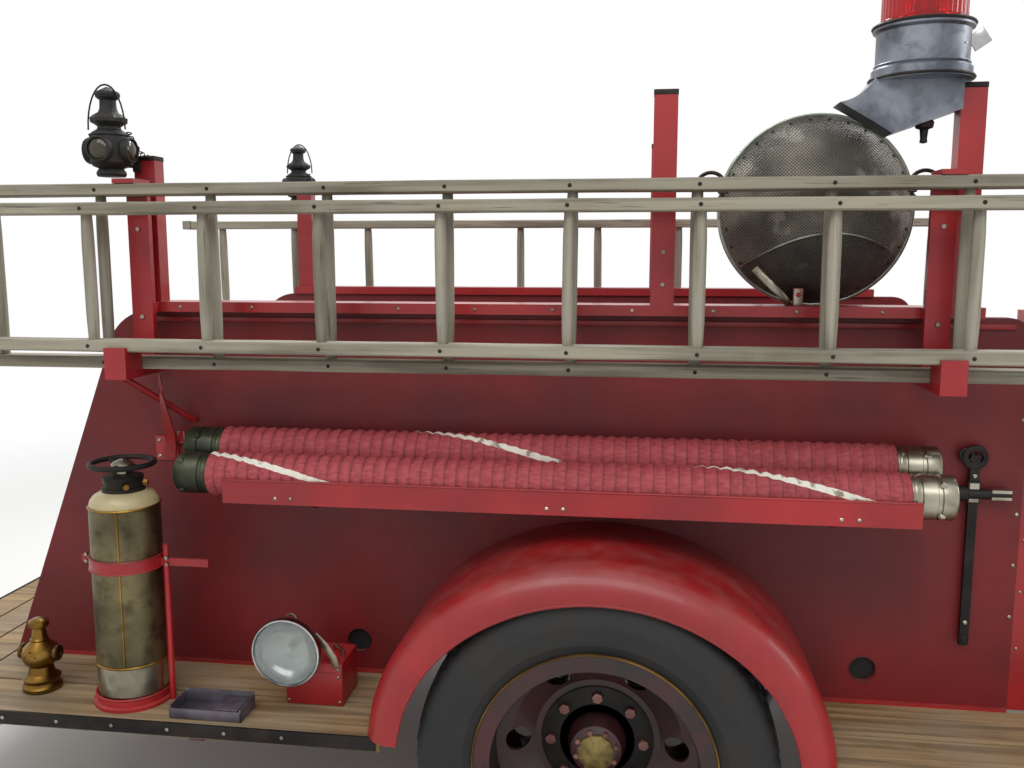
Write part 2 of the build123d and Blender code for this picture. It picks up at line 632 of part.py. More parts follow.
# Running boards and tailboard of oak planks
BOARD_IN_Y = BODY_HALF + 5
FENDER_SEAT = 40
FRONT_SEAT = 100
PLANK_WIDTH = (BOARD_OUT_Y - BOARD_IN_Y - (PLANKS - 1) * PLANK_GAP) / PLANKS
BOARD_STRETCHES = (
    (BODY_REAR_LOW, FENDER_SEAT - REAR_FENDER_HALF),
    (REAR_FENDER_HALF - FENDER_SEAT, WHEELBASE - FRONT_FENDER_TAIL + FRONT_SEAT),
)
with BuildPart() as running_boards:
    for side in (1, -1):
        for plank in range(PLANKS):
            plank_y = side * (BOARD_IN_Y + plank * (PLANK_WIDTH + PLANK_GAP))
            for plank_start, plank_end in BOARD_STRETCHES:
                block((at(plank_start), at(plank_end)), (plank_y, plank_y + side * PLANK_WIDTH),
                      (BOARD_LOW, BOARD_TOP))
    tail_depth = at(BODY_REAR_LOW) - PLANK_GAP - TAIL_X
    tail_plank = (tail_depth - (TAIL_PLANKS - 1) * PLANK_GAP) / TAIL_PLANKS
    for plank in range(TAIL_PLANKS):
        plank_x = TAIL_X + plank * (tail_plank + PLANK_GAP)
        block((plank_x, plank_x + tail_plank), (-BOARD_OUT_Y, BOARD_OUT_Y), (BOARD_LOW, BOARD_TOP))
save(running_boards, "running_boards")

# Ladders on edge, their rungs upright
BED_LADDER_Y = CAP_OUT_Y + LADDER_STANDOFF + LADDER_DEPTH / 2
FLY_LADDER_Y = BED_LADDER_Y + LADDER_DEPTH + LADDER_SPLIT
LADDER_REAR = FIRST_RUNG - LADDER_TAIL
LADDER_FRONT = FIRST_RUNG + (RUNGS - 1) * RUNG_PITCH + LADDER_TAIL


def ladder_rails(middle_y, low, high):
    """Two rails along X, one over the other."""
    depth = (middle_y - LADDER_DEPTH / 2, middle_y + LADDER_DEPTH / 2)
    for rail_z in (low, high - LADDER_RAIL):
        block((at(LADDER_REAR), at(LADDER_FRONT)), depth, (rail_z, rail_z + LADDER_RAIL))


def ladder_rungs(middle_y, low, high, gap=0):
    """Upright rungs that join the two rails, with a gap at each end."""
    for rung in range(RUNGS):
        with Locations((at(FIRST_RUNG + rung * RUNG_PITCH), middle_y, (low + high) / 2)):
            Cylinder(RUNG_R, high - low - 2 * (LADDER_RAIL + gap))


LADDER_HIGH = LADDER_LOW + BED_LADDER_HEIGHT
FLY_LOW = LADDER_LOW + FLY_STEP
FLY_HIGH = LADDER_HIGH - FLY_STEP
with BuildPart() as ladder_bed:
    ladder_rails(-BED_LADDER_Y, LADDER_LOW, LADDER_HIGH)
save(ladder_bed, "ladder_bed")

with BuildPart() as ladder_bed_rungs:
    ladder_rungs(-BED_LADDER_Y, LADDER_LOW, LADDER_HIGH, SEAT_GAP)
save(ladder_bed_rungs, "ladder_bed_rungs")

with BuildPart() as ladder_fly:
    ladder_rails(-FLY_LADDER_Y, FLY_LOW, FLY_HIGH)
save(ladder_fly, "ladder_fly")

with BuildPart() as ladder_fly_rungs:
    ladder_rungs(-FLY_LADDER_Y, FLY_LOW, FLY_HIGH, SEAT_GAP)
save(ladder_fly_rungs, "ladder_fly_rungs")

with BuildPart() as ladder_far:
    ladder_rails(BED_LADDER_Y, FLY_LOW, FLY_HIGH)
    ladder_rungs(BED_LADDER_Y, FLY_LOW, FLY_HIGH)
save(ladder_far, "ladder_far")

# Iron brackets that carry the ladders: (bracket X, side, low, high, ladders' outer face)
FLY_OUT_Y = FLY_LADDER_Y + LADDER_DEPTH / 2
BED_OUT_Y = BED_LADDER_Y + LADDER_DEPTH / 2
BRACKET_STANDS = (
    (REAR_BRACKET_X, -1, LADDER_LOW, LADDER_HIGH, FLY_OUT_Y),
    (FRONT_BRACKET_X, -1, LADDER_LOW, LADDER_HIGH, FLY_OUT_Y),
    (REAR_BRACKET_X, 1, FLY_LOW, FLY_HIGH, BED_OUT_Y),
    (FRONT_BRACKET_X, 1, FLY_LOW, FLY_HIGH, BED_OUT_Y),
)
FOOT = 18
FOOT_LIP = 12
HOOK = 12
BRACE_R = 9
with BuildPart() as ladder_brackets:
    for stand_x, side, low, high, ladder_out in BRACKET_STANDS:
        stand = (at(stand_x) - BRACKET_WIDTH / 2, at(stand_x) + BRACKET_WIDTH / 2)
        bar_out = CAP_OUT_Y + LADDER_STANDOFF - SEAT_GAP
        foot_low = low - SEAT_GAP - FOOT
        block(stand, (side * (bar_out - BRACKET), side * bar_out), (foot_low, high + SEAT_GAP + HOOK))
        block(stand, (side * CAP_OUT_Y, side * bar_out), (BODY_TOP, CAP_TOP))
        block(stand, (side * BODY_HALF, side * bar_out), (foot_low, foot_low + FOOT))
        block(stand, (side * bar_out, side * (ladder_out + FOOT_LIP)), (foot_low, foot_low + FOOT))
        lip_y = (side * (ladder_out + SEAT_GAP), side * (ladder_out + FOOT_LIP))
        block(stand, lip_y, (foot_low, low + FLY_STEP + FOOT_LIP))
        block(stand, (side * bar_out, side * BED_OUT_Y), (high + SEAT_GAP, high + SEAT_GAP + HOOK))
        if ladder_out == FLY_OUT_Y:
            step_y = (side * (BED_OUT_Y + LADDER_SPLIT / 2), side * (FLY_OUT_Y + SEAT_GAP))
            block(stand, step_y, (foot_low + FOOT, FLY_LOW - SEAT_GAP))
    brace_top = (at(REAR_BRACKET_X) - 20, -FLY_OUT_Y + 30, LADDER_LOW - FOOT / 2)
    brace_low = (at(REAR_BRACKET_X) + 90, -BODY_HALF - BRACE_R - 2, 1180)
    rod(brace_top, brace_low, BRACE_R)
    rod(brace_low, (brace_low[0], -BODY_HALF, brace_low[2]), BRACE_R)
save(ladder_brackets, "ladder_brackets")

# Angle tray for the two suction hoses, on three gussets
BACK_HOSE_Y = BODY_HALF + SHEET + HOSE_R
FRONT_HOSE_Y = BACK_HOSE_Y + ((2 * HOSE_R + 1) ** 2 - HOSE_STEP ** 2) ** 0.5
TRAY_OUT_Y = FRONT_HOSE_Y + HOSE_R + SEAT_GAP + SHEET
FRONT_HOSE_Z = TRAY_LOW + SHEET + SEAT_GAP + HOSE_R
BACK_HOSE_Z = FRONT_HOSE_Z + HOSE_STEP
GUSSETS = (TRAY_REAR + 160, (TRAY_REAR + TRAY_FRONT) / 2, TRAY_FRONT - 160)
GUSSET_DROP = 70
with BuildPart() as hose_tray:
    tray_x = (at(TRAY_REAR), at(TRAY_FRONT))
    block(tray_x, (-TRAY_OUT_Y, -BODY_HALF), (TRAY_LOW, TRAY_LOW + SHEET))
    block(tray_x, (-TRAY_OUT_Y, -TRAY_OUT_Y + SHEET), (TRAY_LOW, TRAY_LOW + TRAY_LIP))
    block(tray_x, (-BACK_HOSE_Y - HOSE_R / 2, -BACK_HOSE_Y + HOSE_R / 2), (TRAY_LOW, TRAY_LOW + SHEET + HOSE_STEP))
    for gusset in GUSSETS:
        with BuildSketch(Plane.YZ.offset(at(gusset))):
            with BuildLine():
                Polyline((-BODY_HALF, TRAY_LOW), (-TRAY_OUT_Y + 20, TRAY_LOW), (-BODY_HALF, TRAY_LOW - GUSSET_DROP),
                         close=True)
            make_face()
        extrude(amount=2 * SHEET)
save(hose_tray, "hose_tray")

# Hard suction hoses, held in their tray: (Y, Z, rear end, front end)
BACK_HOSE_SHIFT = -8
HOSES = (
    (-FRONT_HOSE_Y, FRONT_HOSE_Z, HOSE_REAR, HOSE_FRONT),
    (-BACK_HOSE_Y, BACK_HOSE_Z, HOSE_REAR + BACK_HOSE_SHIFT, HOSE_FRONT + BACK_HOSE_SHIFT),
)
with BuildPart() as suction_hoses:
    for hose_y, hose_z, hose_rear, hose_front in HOSES:
        rod((at(hose_rear + COUPLING), hose_y, hose_z), (at(hose_front - COUPLING), hose_y, hose_z), HOSE_R)
save(suction_hoses, "suction_hoses")

LUG = 9
LUGS = 4
with BuildPart() as hose_couplings:
    for hose_y, hose_z, hose_rear, hose_front in HOSES:
        for start, end in ((hose_rear + COUPLING, hose_rear), (hose_front - COUPLING, hose_front)):
            reach = end - start
            turned_x([(at(start), 0), (at(start), COUPLING_R - 4), (at(start + 0.25 * reach), COUPLING_R - 4),
                      (at(start + 0.25 * reach), COUPLING_R), (at(end), COUPLING_R), (at(end), COUPLING_R - 9),
                      (at(start + 0.45 * reach), COUPLING_R - 9), (at(start + 0.45 * reach), 0)], hose_y, hose_z)
            lug_x = at(start + 0.68 * reach)
            with BuildSketch(Plane.YZ.offset(lug_x - LUG)) as lug_ring:
                with Locations((hose_y, hose_z)):
                    with PolarLocations(COUPLING_R, LUGS, start_angle=45):
                        Rectangle(2 * LUG, LUG)
                    Circle(COUPLING_R - 2, mode=Mode.SUBTRACT)
            extrude(lug_ring.sketch, amount=2 * LUG)
save(hose_couplings, "hose_couplings")

# Two nested round-bottomed strainer baskets, bottom outwards, rim on the cap rail
BASKET_Z = CAP_TOP + BASKET_R + SEAT_GAP
BASKET_RIM_Y = -(CAP_OUT_Y - CAP_WIDTH + 8)
BASKET_SPHERE = (BASKET_R ** 2 + BASKET_DEPTH ** 2) / (2 * BASKET_DEPTH)
NEST = (BASKET_SHEET + SEAT_GAP) * BASKET_SPHERE / (BASKET_SPHERE - BASKET_DEPTH)
EAR_R = 36
EAR_WIRE_R = 5
EAR_DROP = 6
EAR_UP = 60
BASKET_FLATS = 6


def bowl_line(rim_y, sheet):
    """Points along a bowl's side from its bottom to its rim, inside its outer face by the sheet."""
    ball_r = BASKET_SPHERE - sheet
    middle_y = rim_y + BASKET_SPHERE - BASKET_DEPTH
    edge_angle = acos((BASKET_SPHERE - BASKET_DEPTH) / ball_r)
    angles = [edge_angle * step / BASKET_FLATS for step in range(BASKET_FLATS + 1)]
    return [(middle_y - ball_r * cos(angle), ball_r * sin(angle)) for angle in angles]


with BuildPart() as strainer_baskets:
    for nest_y in (0, NEST):
        rim_y = BASKET_RIM_Y + nest_y
        outside = bowl_line(rim_y, 0)
        inside = bowl_line(rim_y, BASKET_SHEET)
        turned_y(outside + inside[::-1], at(BASKET_X), BASKET_Z)
    for end in (1, -1):
        ear_out = (BASKET_R ** 2 - EAR_UP ** 2) ** 0.5 + EAR_R - EAR_WIRE_R
        ear_place = (at(BASKET_X) + end * ear_out, BASKET_RIM_Y - EAR_DROP, BASKET_Z + EAR_UP)
        hoop(Plane(origin=ear_place, x_dir=(1, 0, 0), z_dir=(0, 1, 0)), EAR_R, EAR_WIRE_R)
save(strainer_baskets, "strainer_baskets")

# Two lanterns on the rear posts: outline of (radius, height above the foot)
LANTERN_OUTLINE = ((0, 0), (44, 0), (LANTERN_R, 14), (LANTERN_R, 50), (40, 62), (46, 92), (40, 122), (30, 134),
                   (36, 146), (36, 176), (22, 190), (34, 198), (34, 212), (14, 226), (0, 226))
LANTERN_Y = CAP_OUT_Y + LANTERN_R + 8
with BuildPart() as lanterns:
    for side in (1, -1):
        turned_z([(radius, LANTERN_LOW + height) for radius, height in LANTERN_OUTLINE],
                 at(LANTERN_X), side * LANTERN_Y)
        block((at(REAR_POST_X) - POST_WIDTH / 2, at(REAR_POST_X) - POST_WIDTH / 2 + 20),
              (side * CAP_OUT_Y, side * (CAP_OUT_Y + 8)), (LANTERN_LOW + 16, LANTERN_LOW + 46))
        rod((at(REAR_POST_X) - POST_WIDTH / 2 + 10, side * (CAP_OUT_Y + 4), LANTERN_LOW + 31),
            (at(LANTERN_X), side * LANTERN_Y, LANTERN_LOW + 31), 5)
save(lanterns, "lanterns")

# Leather hand straps, each a closed loop on a rear post
STRAP_WIDTH = 18
STRAP = 5
STRAP_LENGTH = 170
STRAP_OPEN = 44
STRAP_TOP = 1800
with BuildPart() as hand_straps:
    for side in (1, -1):
        strap_y = max(side * (CAP_OUT_Y + SEAT_GAP), side * (CAP_OUT_Y + SEAT_GAP + STRAP_WIDTH))
        with BuildSketch(side_plane(strap_y)) as loop:
            with Locations((at(REAR_POST_X) - POST_WIDTH / 2 + STRAP, STRAP_TOP - STRAP_LENGTH / 2)):
                SlotOverall(STRAP_LENGTH, STRAP_OPEN, rotation=90)
                SlotOverall(STRAP_LENGTH - 2 * STRAP, STRAP_OPEN - 2 * STRAP, rotation=90, mode=Mode.SUBTRACT)
        extrude(loop.sketch, amount=STRAP_WIDTH)
save(hand_straps, "hand_straps")

# Soda-acid extinguisher with a ring handwheel, standing in its holder
EXT_LOW = BOARD_TOP + 12
WHEEL_RING_R = 78
WHEEL_RING_Z = EXT_TOP - 12
WHEEL_WIRE_R = 7
WHEEL_SPOKE = 9
EXT_NECK_R = 48
EXT_STEM_R = 12
with BuildPart() as extinguisher:
    turned_z([(0, EXT_LOW + SEAT_GAP), (EXT_R - 5, EXT_LOW + SEAT_GAP), (EXT_R, EXT_LOW + 8),
              (EXT_R, EXT_SHOULDER - 45), (EXT_R - 22, EXT_SHOULDER - 12), (EXT_NECK_R, EXT_SHOULDER),
              (EXT_NECK_R, EXT_SHOULDER + 34), (30, EXT_SHOULDER + 40), (EXT_STEM_R, EXT_SHOULDER + 46),
              (EXT_STEM_R, EXT_TOP - 4), (0, EXT_TOP - 4)], at(EXT_X), EXT_Y)
    hoop(Plane(origin=(at(EXT_X), EXT_Y, WHEEL_RING_Z)), WHEEL_RING_R, WHEEL_WIRE_R)
    for angle in (0, 60, 120):
        with Locations(Location((at(EXT_X), EXT_Y, WHEEL_RING_Z), (0, 0, angle))):
            Box(2 * WHEEL_RING_R, WHEEL_SPOKE, WHEEL_SPOKE)
save(extinguisher, "extinguisher")

HOLDER_BAND_Z = 832
HOLDER_BAND = 34
HOLDER_SHEET = 4
HOLDER_POST_R = 8
HOLDER_POST_X = EXT_X + EXT_R + HOLDER_SHEET + HOLDER_POST_R + 6
HOLDER_ARMS = ((-34, 1), (-1, 130))
with BuildPart() as extinguisher_holder:
    inner = EXT_R + SEAT_GAP
    outer = inner + HOLDER_SHEET
    turned_z([(0, BOARD_TOP), (outer + 8, BOARD_TOP), (outer + 8, EXT_LOW - 4), (outer, EXT_LOW),
              (outer, EXT_LOW + 14), (inner, EXT_LOW + 14), (inner, EXT_LOW), (0, EXT_LOW)], at(EXT_X), EXT_Y)
    turned_z([(inner, HOLDER_BAND_Z), (outer, HOLDER_BAND_Z), (outer, HOLDER_BAND_Z + HOLDER_BAND),
              (inner, HOLDER_BAND_Z + HOLDER_BAND)], at(EXT_X), EXT_Y)
    for edge, arm_span in zip((-outer, outer), HOLDER_ARMS):
        arm_x = (at(EXT_X) + edge + arm_span[0], at(EXT_X) + edge + arm_span[1])
        block(arm_x, (EXT_Y - HOLDER_SHEET, EXT_Y + HOLDER_SHEET), (HOLDER_BAND_Z + 4, HOLDER_BAND_Z + 24))
    rod((at(HOLDER_POST_X), EXT_Y, BOARD_TOP), (at(HOLDER_POST_X), EXT_Y, HOLDER_BAND_Z + 60), HOLDER_POST_R)
save(extinguisher_holder, "extinguisher_holder")

# Hand lamp hooked on the face of its battery box
LAMP_BOX_Y = -786
LAMP_BOX_WIDTH = 154
LAMP_BOX_DEPTH = 130
LAMP_BOX_TOP = 588
LAMP_BOX_ROUND = 6
LAMP_OUTLINE = ((0, 0), (0, 26), (16, 42), (40, LAMP_R - 14), (56, LAMP_R), (72, LAMP_R), (78, LAMP_R - 10), (78, 0))
LAMP_HOOK = 14
LAMP_RING_R = 14
LAMP_RING_OUT = 28
with BuildPart() as hand_lamp:
    block((at(LAMP_BOX_X) - LAMP_BOX_WIDTH / 2, at(LAMP_BOX_X) + LAMP_BOX_WIDTH / 2),
          (LAMP_BOX_Y, LAMP_BOX_Y + LAMP_BOX_DEPTH), (BOARD_TOP, LAMP_BOX_TOP))
    fillet(hand_lamp.edges().filter_by(Axis.Z), LAMP_BOX_ROUND)
    turned_y([(LAMP_BOX_Y - reach, radius) for reach, radius in LAMP_OUTLINE], at(LAMP_X), LAMP_Z)
    block((at(LAMP_X) - LAMP_HOOK, at(LAMP_X) + LAMP_HOOK), (LAMP_BOX_Y - 10, LAMP_BOX_Y),
          (LAMP_BOX_TOP - 60, LAMP_Z))
    ring_place = (at(LAMP_X), LAMP_BOX_Y - LAMP_RING_OUT, LAMP_Z + 72)
    hoop(Plane(origin=ring_place, x_dir=(1, 0, 0), z_dir=(0, 1, 0)), LAMP_RING_R, 3)
save(hand_lamp, "hand_lamp")

# Brass play-pipe nozzle standing on the board
NOZZLE_Y = -790
NOZZLE_OUTLINE = ((0, 0), (46, 0), (50, 10), (50, 34), (34, 44), (32, 70), (46, 84), (50, 104), (42, 124),
                  (24, 136), (20, 176), (26, 182), (26, 196), (0, 196))
with BuildPart() as nozzle:
    turned_z([(radius, BOARD_TOP + height) for radius, height in NOZZLE_OUTLINE], at(NOZZLE_X), NOZZLE_Y)
save(nozzle, "nozzle")

# Hydrant wrench hung on the panel in front of the hoses
WRENCH_LOW = 651
WRENCH_TOP = 1163
WRENCH_WIDTH = 22
WRENCH = 12
JAW_Z = 1046
with BuildPart() as hydrant_wrench:
    wrench_y = (-BODY_HALF - 12 - WRENCH, -BODY_HALF - 12)
    block((at(WRENCH_X) - WRENCH_WIDTH / 2, at(WRENCH_X) + WRENCH_WIDTH / 2), wrench_y, (WRENCH_LOW, WRENCH_TOP - 20))
    with BuildSketch(side_plane(wrench_y[1])) as eye:
        with Locations((at(WRENCH_X), WRENCH_TOP - 26)):
            Circle(30)
            Circle(18, mode=Mode.SUBTRACT)
    extrude(eye.sketch, amount=WRENCH)
    rod((at(WRENCH_X) - 50, wrench_y[0], JAW_Z), (at(WRENCH_X) + 86, wrench_y[0], JAW_Z), 13)
    for peg_z in (WRENCH_LOW + 60, JAW_Z + 44):
        rod((at(WRENCH_X), -BODY_HALF, peg_z), (at(WRENCH_X), wrench_y[1] - 2, peg_z), 7)
save(hydrant_wrench, "hydrant_wrench")

# Beacon on its pan, carried by the front right post
BEACON_Y = -(CAP_OUT_Y - POST_DEPTH / 2)
PAN = 10
BEACON_RIM_Z = BEACON_BASE_LOW + BEACON_BASE
BEACON_OUTLINE = ((0, 0), (BEACON_BASE_R, 0), (BEACON_BASE_R, 16), (BEACON_BASE_R - 8, 24),
                  (BEACON_BASE_R - 8, BEACON_BASE - 16), (BEACON_BASE_R, BEACON_BASE - 10),
                  (BEACON_BASE_R, BEACON_BASE), (0, BEACON_BASE))
FLARE_TIP = (-190, -58)
FLARE_LOW = (-68, -132)
FLARE_POST_DROP = 78
FLARE_DEPTH = 90
with BuildPart() as beacon_base:
    with BuildSketch(side_plane(BEACON_Y + FLARE_DEPTH / 2)):
        with BuildLine():
            post_rear = at(FRONT_POST_X) - POST_WIDTH / 2 - SEAT_GAP
            tip = (at(BEACON_X) + FLARE_TIP[0], BEACON_BASE_LOW + FLARE_TIP[1])
            low = (at(BEACON_X) + FLARE_LOW[0], BEACON_BASE_LOW + FLARE_LOW[1])
            root = (at(BEACON_X) - BEACON_BASE_R, BEACON_BASE_LOW - PAN / 2)
            ThreePointArc(root, (root[0] - 34, root[1] - 36), tip)
            ThreePointArc(tip, (tip[0] + 66, tip[1] - 38), low)
            Polyline(low, (post_rear, BEACON_BASE_LOW - FLARE_POST_DROP), (post_rear, BEACON_BASE_LOW - PAN / 2), root)
        make_face()
    extrude(amount=FLARE_DEPTH)
    with Locations((at(BEACON_X), BEACON_Y, BEACON_BASE_LOW - PAN / 2)):
        Cylinder(BEACON_BASE_R + 4, PAN)
    turned_z([(radius, BEACON_BASE_LOW + height) for radius, height in BEACON_OUTLINE], at(BEACON_X), BEACON_Y)
save(beacon_base, "beacon_base")

LENS_OUTLINE = ((0, 0), (BEACON_LENS_R, 0), (BEACON_LENS_R, BEACON_LENS - 55), (BEACON_LENS_R - 10, BEACON_LENS - 22),
                (BEACON_LENS_R - 40, BEACON_LENS - 4), (0, BEACON_LENS))
with BuildPart() as beacon_lens:
    turned_z([(radius, BEACON_RIM_Z + height) for radius, height in LENS_OUTLINE], at(BEACON_X), BEACON_Y)
save(beacon_lens, "beacon_lens")

# Pump compartment panels, and the pump with its suction and delivery outlets
PUMP_X = (BODY_FRONT + CAB_BACK) / 2
SUCTION_Z = 860
SUCTION_R = 51
SUCTION_WALL = 14
DELIVERY_Z = 1060
DELIVERY_R = 32
DELIVERY_WALL = 10
OUTLET_Y = BODY_HALF + 66
OUTLET_DEPTH = 90
PANEL_PORT_GAP = 3
PUMP_GAUGE_R = 52
PUMP_GAUGE_Z = 1200
PUMP_GAUGE_SPREAD = 80
PUMP_GAUGE_PROUD = 20
with BuildPart() as pump_panels:
    for side in (1, -1):
        outer_y = max(side * BODY_HALF, side * (BODY_HALF - BODY_WALL))
        with BuildSketch(side_plane(outer_y)) as pump_side:
            with BuildLine():
                Polyline((at(BODY_FRONT), BODY_LOW), (at(CAB_BACK), BODY_LOW), (at(CAB_BACK), PUMP_TOP),
                         (at(BODY_FRONT), PUMP_TOP), close=True)
            make_face()
            with Locations((at(PUMP_X), SUCTION_Z)):
                Circle(SUCTION_R + SUCTION_WALL + PANEL_PORT_GAP, mode=Mode.SUBTRACT)
            with Locations((at(PUMP_X), DELIVERY_Z)):
                Circle(DELIVERY_R + DELIVERY_WALL + PANEL_PORT_GAP, mode=Mode.SUBTRACT)
        extrude(pump_side.sketch, amount=BODY_WALL)
        for gauge_x in (PUMP_X - PUMP_GAUGE_SPREAD, PUMP_X + PUMP_GAUGE_SPREAD):
            rod((at(gauge_x), side * (BODY_HALF - BODY_WALL / 2), PUMP_GAUGE_Z),
                (at(gauge_x), side * (BODY_HALF + PUMP_GAUGE_PROUD), PUMP_GAUGE_Z), PUMP_GAUGE_R)
    block((at(BODY_FRONT), at(CAB_BACK)), (-BODY_HALF, BODY_HALF), (PUMP_TOP, PUMP_TOP + 20))
save(pump_panels, "pump_panels")

with BuildPart() as pump_unit:
    block((at(PUMP_X) - 125, at(PUMP_X) + 125), (-330, 330), (700, 960))
    fillet(pump_unit.edges().filter_by(Axis.Y), 60)
    block((at(PUMP_X) - 40, at(PUMP_X) + 40), (-RAIL_OUTER_Y, RAIL_OUTER_Y), (FRAME_TOP, FRAME_TOP + 30))
    block((at(PUMP_X) - 45, at(PUMP_X) + 45), (-45, 45), (950, DELIVERY_Z))
    rod((at(PUMP_X), -OUTLET_Y, SUCTION_Z), (at(PUMP_X), OUTLET_Y, SUCTION_Z), SUCTION_R + SUCTION_WALL)
    rod((at(PUMP_X), -OUTLET_Y, DELIVERY_Z), (at(PUMP_X), OUTLET_Y, DELIVERY_Z), DELIVERY_R + DELIVERY_WALL)
    for side in (1, -1):
        mouth = side * OUTLET_Y
        throat = side * (OUTLET_Y - OUTLET_DEPTH)
        rod((at(PUMP_X), mouth, SUCTION_Z), (at(PUMP_X), throat, SUCTION_Z), SUCTION_R, mode=Mode.SUBTRACT)
        rod((at(PUMP_X), mouth, DELIVERY_Z), (at(PUMP_X), throat, DELIVERY_Z), DELIVERY_R, mode=Mode.SUBTRACT)
save(pump_unit, "pump_unit")

# Open cab: floor, hollow seat box, quarter panels and back
CAB_LOW = CAB_FLOOR - 16
TOE_HALF = 385
CAB_SILL = 60
CAB_PANEL_TOP = 1400
with BuildPart() as cab_tub:
    block((at(CAB_BACK), at(DASH_X)), (-CAB_HALF + CAB_WALL, CAB_HALF - CAB_WALL), (CAB_LOW, CAB_FLOOR))
    block((at(DASH_X), at(FIREWALL_X) - 6), (-TOE_HALF, TOE_HALF), (CAB_LOW, CAB_FLOOR))
    for sill_x in (CAB_BACK + CAB_SILL, SEAT_FRONT, DASH_X - CAB_SILL):
        block((at(sill_x), at(sill_x) + CAB_SILL), (-RAIL_OUTER_Y, RAIL_OUTER_Y), (FRAME_TOP, CAB_LOW))
    for side in (1, -1):
        outer_y = max(side * CAB_HALF, side * (CAB_HALF - CAB_WALL))
        with BuildSketch(side_plane(outer_y)) as quarter:
            with BuildLine() as quarter_line:
                Polyline((at(DASH_X), CAB_LOW), (at(CAB_BACK), CAB_LOW), (at(CAB_BACK), CAB_PANEL_TOP),
                         (at(CAB_BACK) + 160, CAB_PANEL_TOP))
                ThreePointArc((at(CAB_BACK) + 160, CAB_PANEL_TOP), (at(SEAT_FRONT) - 150, 1230),
                              (at(SEAT_FRONT) - 40, 1020))
                ThreePointArc((at(SEAT_FRONT) - 40, 1020), (at(SEAT_FRONT) + 30, 900), (at(SEAT_FRONT) + 150, 870))
                Polyline((at(SEAT_FRONT) + 150, 870), (at(DASH_X), 870), (at(DASH_X), CAB_LOW))
            make_face()
        extrude(quarter.sketch, amount=CAB_WALL)
    inner_half = CAB_HALF - CAB_WALL
    block((at(CAB_BACK), at(CAB_BACK) + CAB_WALL), (-inner_half, inner_half), (CAB_FLOOR, CAB_PANEL_TOP + 40))
    block((at(CAB_BACK) + CAB_WALL, at(SEAT_FRONT)), (-inner_half, inner_half), (CAB_FLOOR, SEAT_BOX_TOP))
    block((at(CAB_BACK) + 2 * CAB_WALL, at(SEAT_FRONT) - CAB_WALL),
          (-inner_half + CAB_WALL, inner_half - CAB_WALL), (CAB_FLOOR, SEAT_BOX_TOP - CAB_WALL), mode=Mode.SUBTRACT)
save(cab_tub, "cab_tub")

# Seat cushion and back, each one simple closed pad
CUSHION = 110
BACK_PAD = 105
BACK_PAD_TOP = 1640
PAD_ROUND = 28
pad_rear = at(CAB_BACK) + CAB_WALL + SEAT_GAP
pad_y = (-inner_half + 6, inner_half - 6)
with BuildPart() as cushion:
    block((pad_rear, at(SEAT_FRONT) - 5), pad_y, (SEAT_BOX_TOP + SEAT_GAP, SEAT_BOX_TOP + CUSHION))
    fillet(cushion.faces().sort_by(Axis.Z)[-1].edges(), PAD_ROUND)

with BuildPart() as back_pad:
    block((pad_rear, at(CAB_BACK) + CAB_WALL + BACK_PAD), pad_y, (SEAT_BOX_TOP + CUSHION + SEAT_GAP, BACK_PAD_TOP))
    fillet(back_pad.faces().sort_by(Axis.X)[-1].edges(), PAD_ROUND)

with BuildPart() as seat_pads:
    add(cushion.part)
    add(back_pad.part)
save(seat_pads, "seat_pads")


# Hood and cowl sections: an arched top between straight sides
def hood_section(section_x, half, shoulder, top, low):
    """One cross section of the hood or cowl, as a face at the place given."""
    with BuildSketch(Plane.YZ.offset(section_x)) as section:
        with BuildLine():
            Polyline((-half, shoulder), (-half, low), (half, low), (half, shoulder))
            ThreePointArc((half, shoulder), (0, top), (-half, shoulder))
        make_face()
    return section.sketch


GRILLE_SECTION = (at(GRILLE_X), 305, 1165, 1330)
FIREWALL_SECTION = (at(FIREWALL_X), 400, 1220, 1385)
DASH_SECTION = (at(DASH_X), CAB_HALF - 5, 1230, 1420)


def hollow_hood(rear, front, low):
    """Thin shell between two sections, open below."""
    loft([hood_section(*rear, low), hood_section(*front, low)])
    inner_rear = (rear[0], rear[1] - HOOD_SHEET, rear[2] - HOOD_SHEET / 2, rear[3] - HOOD_SHEET)
    inner_front = (front[0], front[1] - HOOD_SHEET, front[2] - HOOD_SHEET / 2, front[3] - HOOD_SHEET)
    loft([hood_section(*inner_rear, low - 40), hood_section(*inner_front, low - 40)], mode=Mode.SUBTRACT)


FIREWALL = 6
DASH_GAUGES = ((40, 46), (-90, 40), (-200, 40))
GAUGE_Z = 1300
GAUGE_PROUD = 10
HOOD_PIN_R = HOOD_HINGE_GAP / 2 - SEAT_GAP
LEDGE_STAYS = (FIREWALL_X + 60, FIREWALL_X + 600, GRILLE_X - 70)
with BuildPart() as cowl_outside:
    loft([hood_section(*DASH_SECTION, COWL_LOW), hood_section(*FIREWALL_SECTION, COWL_LOW)])

